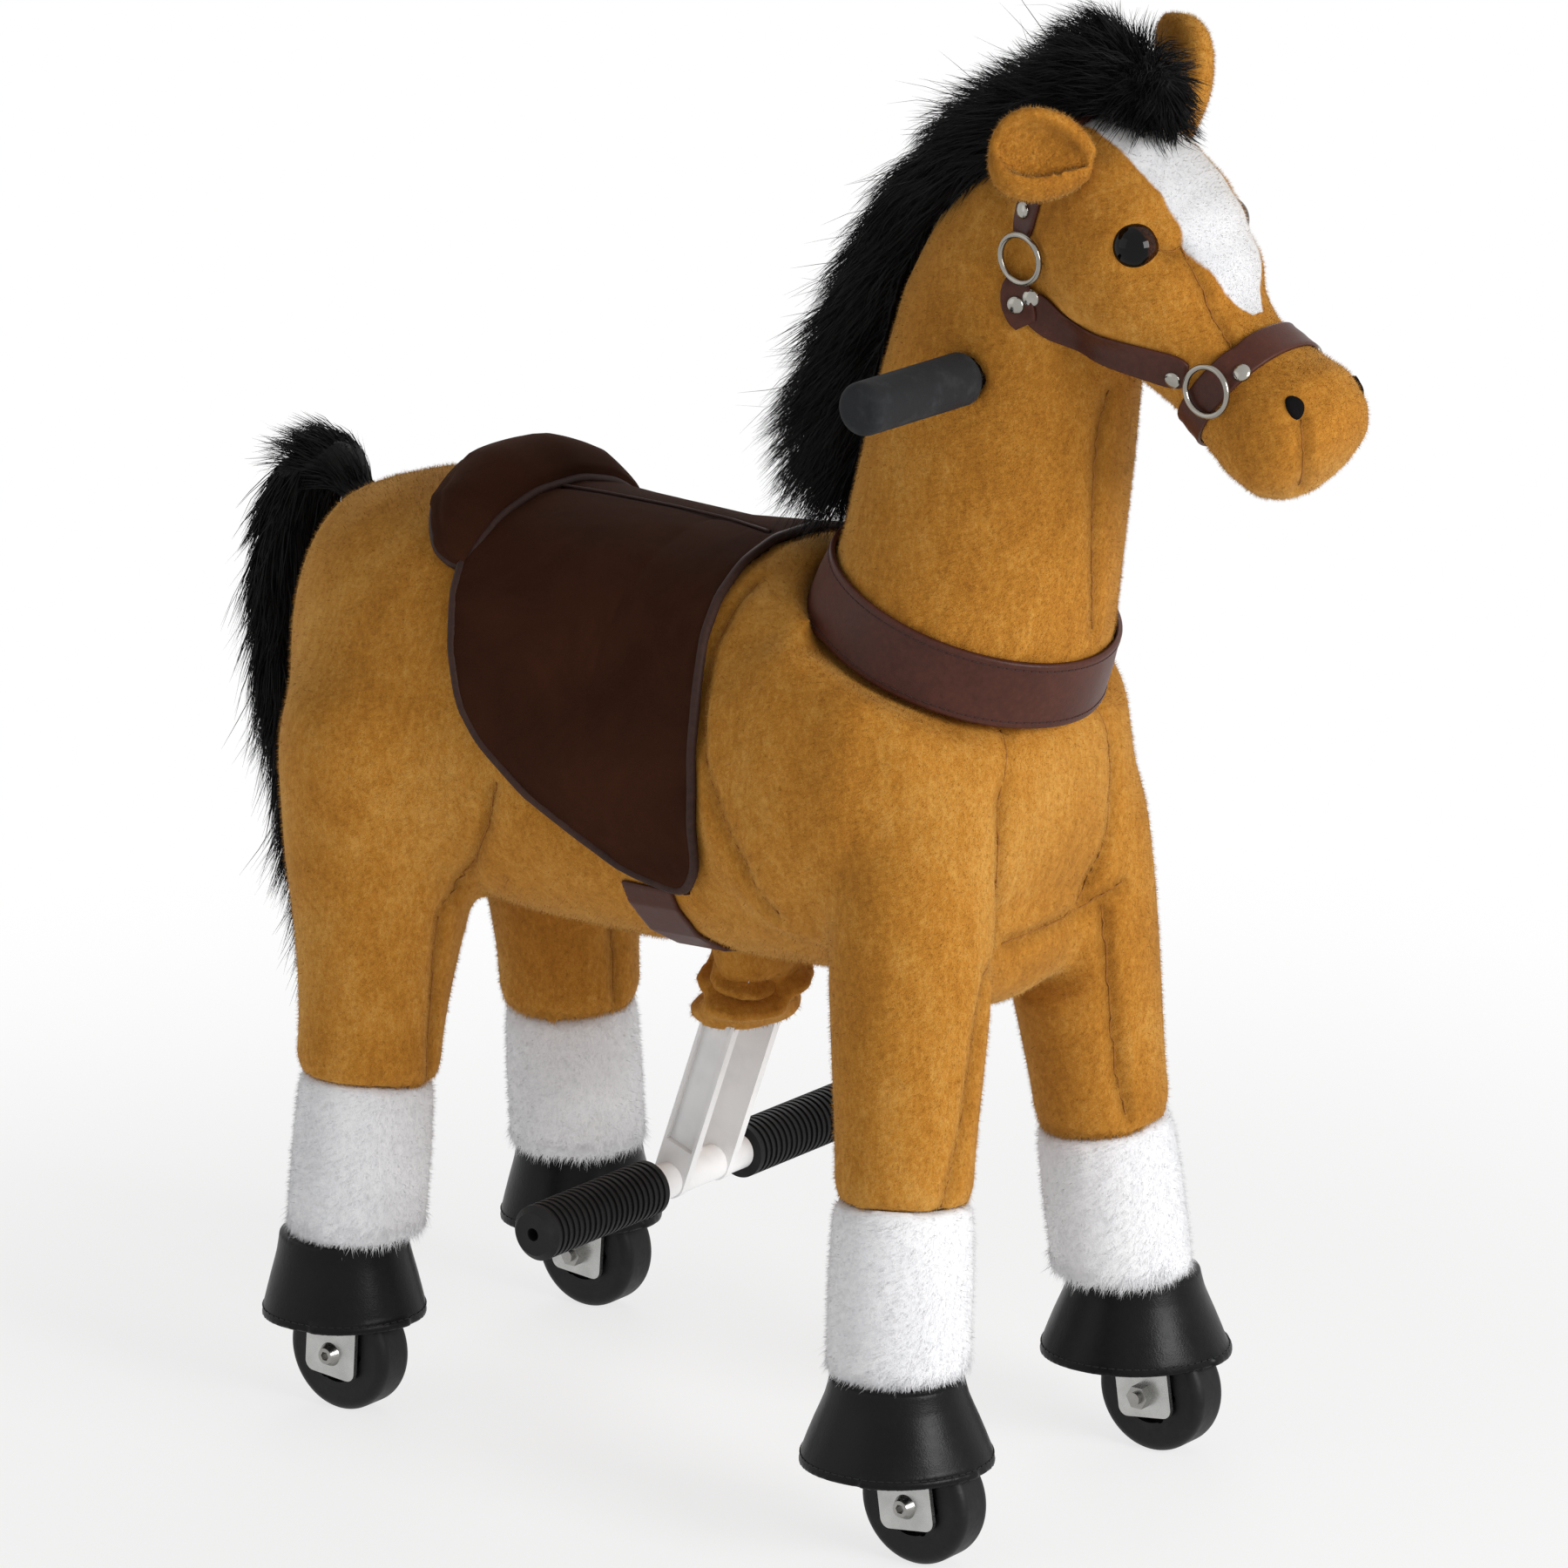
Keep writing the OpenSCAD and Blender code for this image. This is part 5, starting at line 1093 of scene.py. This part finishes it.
def metalPaint(name, tone, rough, streaks):
    paint = Paint(name)
    spot = paint.place()
    brushed = paint.grain(paint.stretch(spot, (1, 1, 14)), 380.0, 3.0)
    clouds = paint.grain(spot, 60.0, 3.0)
    colour = paint.mix(paint.range(clouds, 0.3, 0.7), shaded(tone, 0.82), tone)
    return paint.surface({"Base Color": colour, "Metallic": 1.0,
                          "Roughness": paint.range(brushed + clouds * 0.4, 0.4, 1.0, rough, rough + 0.16),
                          "Normal": paint.bump(brushed, 0.0001, streaks)})


def addGirth(leather):
    girth = remeshed("girthStrap", ("girth_strap",), *strap["girth"])
    finished(girth, leather, "body", "strap", ("girth_strap",))


hoof = {"voxel": 0.0016, "rounds": 3, "leather": (rgb(7, 7, 8), rgb(14, 14, 15)), "gloss": 0.36,
        "shine": 0.14, "thread": rgb(24, 24, 26), "rim": 0.058, "hem": 0.0055, "flare": 0.03,
        "waves": ((3, 1.1, 0.0012), (5, 0.0, 0.0006)), "reach": 0.1, "around": 120,
        "stitch": (0.0050, 0.0036, 0.0004), "threadOff": 0.0003, "threadWave": 0.65}


def hoofWave(turn):  # how the rim of a skirt swings in and out
    return sum(np.sin(turn * many + start) * deep for many, start, deep in hoof["waves"])


def addHooves():
    leather = leatherPaint("hoofLeather", *hoof["leather"], hoof["gloss"], hoof["shine"])
    thread = threadPaint("hoofThread", hoof["thread"])
    for source in ("front_hoof_right", "front_hoof_left", "rear_hooves"):
        body = "body" if source == "rear_hooves" else "front_legs"
        name = "hoofSkirt" + "".join(w.title() for w in source.split("_"))
        skirt = remeshed(name, (source,), hoof["voxel"], hoof["rounds"])
        points, parts, tree = pointsOf(skirt.data), [], treeFrom(skirt.data)
        for side in (-1, 1):
            mine = points[:, 1] * side > 0
            if not mine.any():
                continue
            middle = (points[mine].min(0) + points[mine].max(0)) / 2
            turn = np.arctan2(points[:, 1] - middle[1], points[:, 0] - middle[0])
            push = ramp(-points[:, 2], -hoof["rim"] - hoof["flare"], hoof["flare"]) ** 2 * hoofWave(turn)
            radial = np.stack([np.cos(turn), np.sin(turn), np.zeros(len(turn))], 1)
            points = np.where(mine[:, None], points + radial * push[:, None], points)
            hem, line = Vector((middle[0], middle[1], hoof["rim"] + hoof["hem"])), []
            for t in turns(hoof["around"]):
                d = Vector((math.cos(t), math.sin(t), 0))
                hit = tree.ray_cast(hem + d * hoof["reach"], -d)[0]
                if hit is not None:
                    off = hoof["threadOff"] + hoofWave(t) * hoof["threadWave"]
                    line.append(np.array(hit) + np.array(d) * off)
            parts += stitches(np.array(line), *hoof["stitch"])
        setPoints(skirt.data, points)
        finished(skirt, leather, body, "hoof", (source,))
        built(name + "Thread", parts, thread, body, "hoof")
    say("hooves")


def rubberPaint(name, tone, rough, pore, depth):
    paint = Paint(name)
    spot = paint.place()
    pores = paint.grain(spot, pore, 2.0)
    scuffs = paint.grain(spot, 70.0, 4.0, 0.65)
    return paint.surface({
        "Base Color": paint.mix(paint.range(scuffs, 0.45, 0.75), tone, shaded(tone, 1.7, 0.004)),
        "Roughness": paint.range(scuffs + pores * 0.4, 0.4, 1.0, rough, min(1.0, rough + 0.15)),
        "Normal": paint.bump(pores, depth, 0.5), "Specular IOR Level": 0.22})


def armPaint(name):
    paint = Paint(name)
    spot = paint.place()
    peel = paint.grain(spot, 420.0, 1.0)
    dust = paint.grain(spot, 40.0, 4.0)
    return paint.surface({
        "Base Color": paint.mix(paint.range(dust, 0.4, 0.8), rgb(240, 240, 240), rgb(228, 228, 228)),
        "Roughness": paint.range(dust, 0.3, 0.8, 0.32, 0.45), "Normal": paint.bump(peel, 0.0002, 0.2),
        "Coat Weight": 0.2, "Coat Roughness": 0.2})


eye = {"pupil": 0.0140, "rim": 0.0015, "black": rgb(4, 4, 4), "iris": (rgb(26, 12, 6), rgb(58, 30, 13))}


def eyePaint(name):
    paint = Paint(name)
    x, y, z = paint.axes(paint.place())
    spot = paint.node("ShaderNodeCombineXYZ", None, {0: x, 1: paint.size(y), 2: z})
    glass = pointsOf(nodes["eyes"].data)
    gaze = tuple(glass[np.argmax(glass[:, 1])])
    gap = paint.node("ShaderNodeVectorMath", {"operation": "DISTANCE"}, {0: spot, 1: gaze}, 1)
    rays = paint.grain(spot, 700.0, 2.0)
    iris = paint.mix(paint.range(rays, 0.3, 0.7), *eye["iris"])
    edge = paint.range(gap, eye["pupil"], eye["pupil"] + eye["rim"])
    return paint.surface({
        "Base Color": paint.mix(edge, eye["black"], iris),
        "Roughness": paint.range(rays, 0.2, 0.8, 0.05, 0.08), "Coat Weight": 0.12, "Coat Roughness": 0.02,
        "Specular IOR Level": 0.1})


def dressSolids():
    zinc = metalPaint("forkZinc", rgb(188, 188, 186), 0.22, 0.12)
    steel = metalPaint("boltSteel", rgb(160, 159, 156), 0.22, 0.1)
    wire = metalPaint("ringWire", rgb(150, 146, 138), 0.14, 0.04)
    plain = metalPaint("frameTube", rgb(92, 92, 94), 0.42, 0.2)
    finish = {
        "_fork_": zinc, "axle_bolt": steel, "bearings": steel, "halter_hardware": wire,
        "tyre": rubberPaint("tyreRubber", rgb(15, 15, 16), 0.42, 300.0, 0.0003),
        "hub": rubberPaint("hubPlastic", rgb(14, 14, 15), 0.34, 900.0, 0.0001),
        "grip": rubberPaint("gripFoam", rgb(33, 34, 36), 0.8, 1600.0, 0.0005),
        "foot_peg": rubberPaint("pegRubber", rgb(20, 20, 21), 0.55, 1200.0, 0.0003),
        "footrest": armPaint("armEnamel"), "eyes": eyePaint("glassEye"),
    }
    for name, obj in nodes.items():
        paint = next((p for word, p in finish.items() if word in name), plain)
        for place in obj.material_slots:
            place.material = paint
    say("solids dressed")


addCamera()
addStudio()
tanPlush = plushPaint("tanPlush", plush["tan"])
headPlush = plushPaint("headPlush", plush["tan"], True)
whitePlush = plushPaint("whitePlush", plush["white"])

torsoCover = {
    "voxel": 0.005, "rounds": 18, "inset": -0.002, "pressure": 4.0, "cap": 0.007, "fill": 0.9,
    "swell": 0.0035,
    "lumps": [((0.158, 0.0, 0.354), (0.034, 0.088, 0.050))],  # stuffing between the tops of the front legs
    "thigh": [(568, 900), (560, 945), (545, 988), (525, 1022), (506, 1046)],
    "rearRight": [(505, 1052), (500, 1100), (496, 1160), (493, 1235)],
    "rearLeft": [(703, 1062), (706, 1100), (708, 1148)],
    "crease": [(1152, 1084), (1190, 1070), (1230, 1050), (1265, 1030), (1290, 1012)],
    "shoulder": [(868, 668), (834, 712), (812, 770), (806, 840), (816, 905), (850, 985), (892, 1052),
                 (930, 1108)],
    "chest": [(1151, 836), (1148, 920), (1146, 1010), (1144, 1080)],
    "legRight": [(1142, 1088), (1131, 1120), (1122, 1170), (1114, 1230), (1104, 1300), (1090, 1360),
                 (1082, 1388)],
    "legLeft": [(1266, 1040), (1271, 1110), (1277, 1180), (1283, 1240), (1294, 1280)],
    "pile": [(190000, 0.0034, 0.0003, 0.5, 11), (190000, 0.0034, 0.0003, 0.5, 12)],
    "skin": {"bodies": ("body", "front_legs"), "start": (0.130, 0.0, 0.450), "end": (0.226, 0.0, 0.378)},
    "trim": (9000, 0.0060, 0.0004, 0.86, 18), "trimDepth": 0.008,
}


joints = {"low": (0.34, 0.04), "high": (0.54, 0.04), "hips": (-0.10, 0.06), "shoulders": (0.14, 0.06),
          "share": 0.35, "gusset": (0.18, 0.0, 0.34), "gussetSize": 0.05, "collarSize": 0.018}


def jointShare(points):  # where the legs and the neck grow out of the body
    x, _, z = points.T
    (high, soft), (hips, wide) = joints["high"], joints["hips"]
    level = ramp(z, *joints["low"]) * ramp(-z, -high, soft)
    gap = points - np.array(strap["collarCentre"])
    along = gap @ leaning(strap["tilt"])
    around = np.sqrt(np.maximum((gap ** 2).sum(1) - along ** 2, 0)) - strap["collarRadius"]
    gusset = np.exp(-((points - np.array(joints["gusset"])) ** 2).sum(1) / joints["gussetSize"] ** 2)
    ring = np.exp(-(along ** 2 + around ** 2) / joints["collarSize"] ** 2)
    return np.max([ramp(-x, -hips, wide) * level, ramp(x, *joints["shoulders"]) * level * 0.5,
                   joints["share"] * gusset, joints["share"] * ring], 0)


def torsoLines(tree):  # both sides have the seams of the shoulders and thighs
    t = torsoCover
    pairs = [line for word in ("thigh", "shoulder", "chest") for line in traced(tree, t[word], True)]
    single = ("rearRight", "rearLeft", "crease", "legRight", "legLeft")
    return pairs + [traced(tree, t[word])[0] for word in single]


def addTorso():  # one skin over the body and the front legs, across the shoulders
    t = torsoCover
    legs = [f"{end}_leg_plush_{side}" for end in ("rear", "front") for side in ("right", "left")]
    torso = cover("torsoCover", ("torso_plush", *legs), t, torsoLines, tanPlush, t["skin"], "plush")
    pile(torso, "torsoCover.trim", *t["trim"], t["skin"], "plush", (), rimOf(torso.data, t["trimDepth"]))
    return torso


neckCover = {
    "voxel": 0.004, "rounds": 12, "inset": 0.0, "pressure": 4.0, "cap": 0.005, "fill": 0.95,
    "lumps": [((0.2708, 0.0, 0.7665), (0.050, 0.055, 0.050)),  # stuffing behind the forehead
              ((0.2839, 0.0, 0.7507), (0.046, 0.053, 0.046))],
    "throat": [(1275, 450), (1262, 495), (1257, 560), (1256, 640), (1257, 722)],
    "cheek": [(1356, 284), (1380, 330), (1407, 384), (1416, 399)],
    "brow": [(1326, 285), (1343, 293), (1356, 284)],
    "muzzle": [(1494, 483), (1497, 522), (1493, 561)],
    "nostril": (1487, 467), "nostrilSize": (11, 15), "nostrilTurn": math.radians(-25), "nostrilBald": 0.008,
    "nostrilRise": 0.0022, "nostrilSunk": -0.0005, "felt": (rgb(10, 9, 9), rgb(24, 22, 22)),
    "pile": [(190000, 0.0030, 0.0003, 0.5, 13)],
}


def headLines(tree):
    words = ("throat", "cheek", "brow", "muzzle")
    return [line for word in words for line in traced(tree, neckCover[word], word != "throat")]


def nostrilsOn(tree):
    hit = np.array(seenAt(tree, *neckCover["nostril"])[0])
    return [(hit * flip, neckCover["nostrilBald"]) for flip in (1, mirror)]


def addNeckAndHead():
    sources = ("neck_plush", "head_plush")
    return cover("neckCover", sources, neckCover, headLines, headPlush, "steering", "plush", nostrilsOn)


def addNostrils(tree):
    t, (across, tall), (column, row) = neckCover, neckCover["nostrilSize"], neckCover["nostril"]
    c, s = math.cos(t["nostrilTurn"]), math.sin(t["nostrilTurn"])
    shares, sides, points = (0.02, 0.4, 0.75, 1.0), 24, []
    for share in shares:
        lift = t["nostrilRise"] if share < 1 else t["nostrilSunk"]
        for a in turns(sides):
            u, v = across * share * math.cos(a), tall * share * math.sin(a) * (1 - 0.25 * math.cos(a))
            place, out = seenAt(tree, column + u * c - v * s, row + u * s + v * c)[:2]
            points.append(np.array(place) + np.array(out) * lift)
    faces, points = rings(len(shares), sides, False, (True, False)), np.array(points)
    parts = [(points, faces), (points * mirror, [f[::-1] for f in faces])]
    built("nostrils", parts, suedePaint("nostrilFelt", *t["felt"]), "steering", "fur")


sockCover = {"voxel": 0.004, "rounds": 8, "inset": 0.0, "pressure": 4.0, "cap": 0.005, "fill": 0.8,
             "pile": [(60000, 0.0042, 0.00032, 0.5, 14)], "fringe": (9000, 0.0100, 0.0005, 0.86, 17),
             "fringeDepth": 0.012}


def rimOf(mesh, depth):  # the lowest rim of each leg of a cover
    points, out = pointsOf(mesh), normalsOf(mesh)
    rim = np.zeros(len(points))
    for side, end in ((-1, -1), (-1, 1), (1, -1), (1, 1)):
        mine = (points[:, 1] * side > 0) & (points[:, 0] * end > 0)
        if mine.any():
            low = points[mine, 2].min()
            rim[mine & (points[:, 2] < low + depth) & (out[:, 2] > -0.75)] = 1
    return rim


def addSocks(word, body):
    t, name = sockCover, "sockCover." + word
    sock = cover(name, (word + "_socks",), t, lambda tree: [], whitePlush, body, "white_plush")
    pile(sock, name + ".fringe", *t["fringe"], body, "white_plush", (), rimOf(sock.data, t["fringeDepth"]))


earForm = {
    "thick": 0.012, "voxel": 0.0022, "rounds": 5, "fill": 0.4, "oval": 1.15, "flat": 0.6, "roll": -0.5,
    "neck": 0.34, "tip": 2.4, "curl": (3.5, 2.0, 1.1), "thin": 0.35,
    "right": (0.061, 0.080, (0.2521, -0.0433, 0.8209), (-0.57, -0.76, 0.30), (0.80, -0.50, -0.10)),
    "left": (0.080, 0.080, (0.246, 0.042, 0.813), (-0.24, 0.30, 0.92), (0.45, 0.85, 0.1)),
    "pile": (20000, 0.003, 0.0003, 0.45, 15),
}


def addEar(word):
    t = earForm
    length, broad, root, *ways = t[word]
    root, way, face = np.array(root), *(unit(np.array(v)) for v in ways)
    face = unit(face - way * (face @ way))
    across, steps, sides = np.cross(way, face), 24, 20
    (least, more, power), rows = t["curl"], []
    for i in range(steps + 1):
        u = i / steps
        if u < 0.5:
            body = t["neck"] + (1 - t["neck"]) * math.sin(math.pi * u)
        else:
            body = math.sqrt(max(0.002, 1 - (2 * u - 1) ** t["tip"]))
        width, curl = broad * body, least + more * (1 - u) ** power
        r, thick = width / curl, t["thick"] * min(1, t["thin"] + body)
        for inner in (False, True):
            for k in range(sides):
                v = (2 * k / (sides - 1) - 1) * (-1 if inner else 1)
                reach = r + (thick / 2) * math.sqrt(max(0.0, 1 - v ** 4)) * (-1 if inner else 1)
                turn = v * curl / 2 + t["roll"]
                rows.append(root + way * length * u + face * (r - reach * math.cos(turn)) * t["flat"]
                            + across * reach * math.sin(turn) * t["oval"])
    shell = meshFrom("earCover", rows, rings(steps + 1, sides * 2))
    ear = voxelled("earCover." + word, shell, t["voxel"], t["rounds"])
    finished(ear, tanPlush, "steering", "plush", ("ear_" + word,))
    pile(ear, f"earCover.{word}.pile", *t["pile"], "steering", "plush")
    say("ear")


bootCover = {
    "voxel": 0.003, "rounds": 6, "fill": 0.3, "reach": 0.292, "rise": 4.2, "widen": 0.36, "widenOver": 0.012,
    "fold": 0.0065, "facing": math.radians(-52), "ridge": 0.16, "hollow": (0.30, 0.9),
    "upper": (0.80, 0.34), "lower": (0.34, 0.12, 0.6, 0.7), "rumple": (45, 0.5),
    "start": (-0.012, 0.0, 0.370), "end": (-0.014, 0.0, 0.344), "pile": (22000, 0.0034, 0.0003, 0.5, 16),
}


def addBoot():
    t = bootCover
    boot = remeshed("bootCover", ("pedal_boot",), t["voxel"], t["rounds"])
    points, out = pointsOf(boot.data), normalsOf(boot.data)
    middle = (points.min(0) + points.max(0)) / 2
    turn = np.arctan2(points[:, 1], points[:, 0] - middle[0])
    foot = points[:, 2].min()
    level, dip = (points[:, 2] - foot) / (t["reach"] - foot), np.cos(turn - t["facing"])

    def fold(gap):  # a ridge with a hollow over it
        return np.exp(-(gap / t["ridge"]) ** 2) - less * np.exp(-((gap - over) / t["ridge"]) ** 2)
    (over, less), (top, tip), (low, sway, start, share) = t["hollow"], t["upper"], t["lower"]
    wave = fold(level - top + tip * dip) + share * fold(level - low + sway * np.sin(2 * turn + start))
    fine, deep = t["rumple"]
    wave += np.array([noise.noise(Vector(q) * fine) for q in points]) * deep
    outward = np.hypot(out[:, 0], out[:, 1])
    points = points + out * (wave * outward * t["fold"])[:, None]
    high = ramp(points[:, 2], t["reach"], t["widenOver"])
    points[:, :2] += (points[:, :2] - middle[:2]) * (high * t["widen"])[:, None]
    points[:, 2] += np.maximum(0, points[:, 2] - t["reach"]) * t["rise"]  # up to its seam in the belly
    setPoints(boot.data, points)
    evenOut(boot.data, 2)
    finished(boot, tanPlush, None, "plush", ("pedal_boot",))
    coat = pile(boot, "bootCover.pile", *t["pile"], None, "plush")
    for piece in (boot, coat):
        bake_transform(piece)
    say("boot")


seamShade = threadPaint("seamShade", plush["seam"])
torso = addTorso()
neck = addNeckAndHead()
addNostrils(treeFrom(neck.data))
for word, body in (("front", "front_legs"), ("rear", "body")):
    addSocks(word, body)
for word in ("right", "left"):
    addEar(word)
addBoot()
addMane()
addTail()
addSaddle()
strapLeather = leatherPaint("strapLeather", *strap["leather"], strap["gloss"], strap["shine"])
strapThread = threadPaint("strapThread", strap["thread"])
chrome = metalPaint("rivetChrome", *strap["chrome"])
neckTree = treeFrom(neck.data)
addCollar([neckTree, treeFrom(torso.data)], strapLeather, strapThread)
addHalter(neckTree, strapLeather, chrome)
addGirth(strapLeather)
addHooves()
dressSolids()
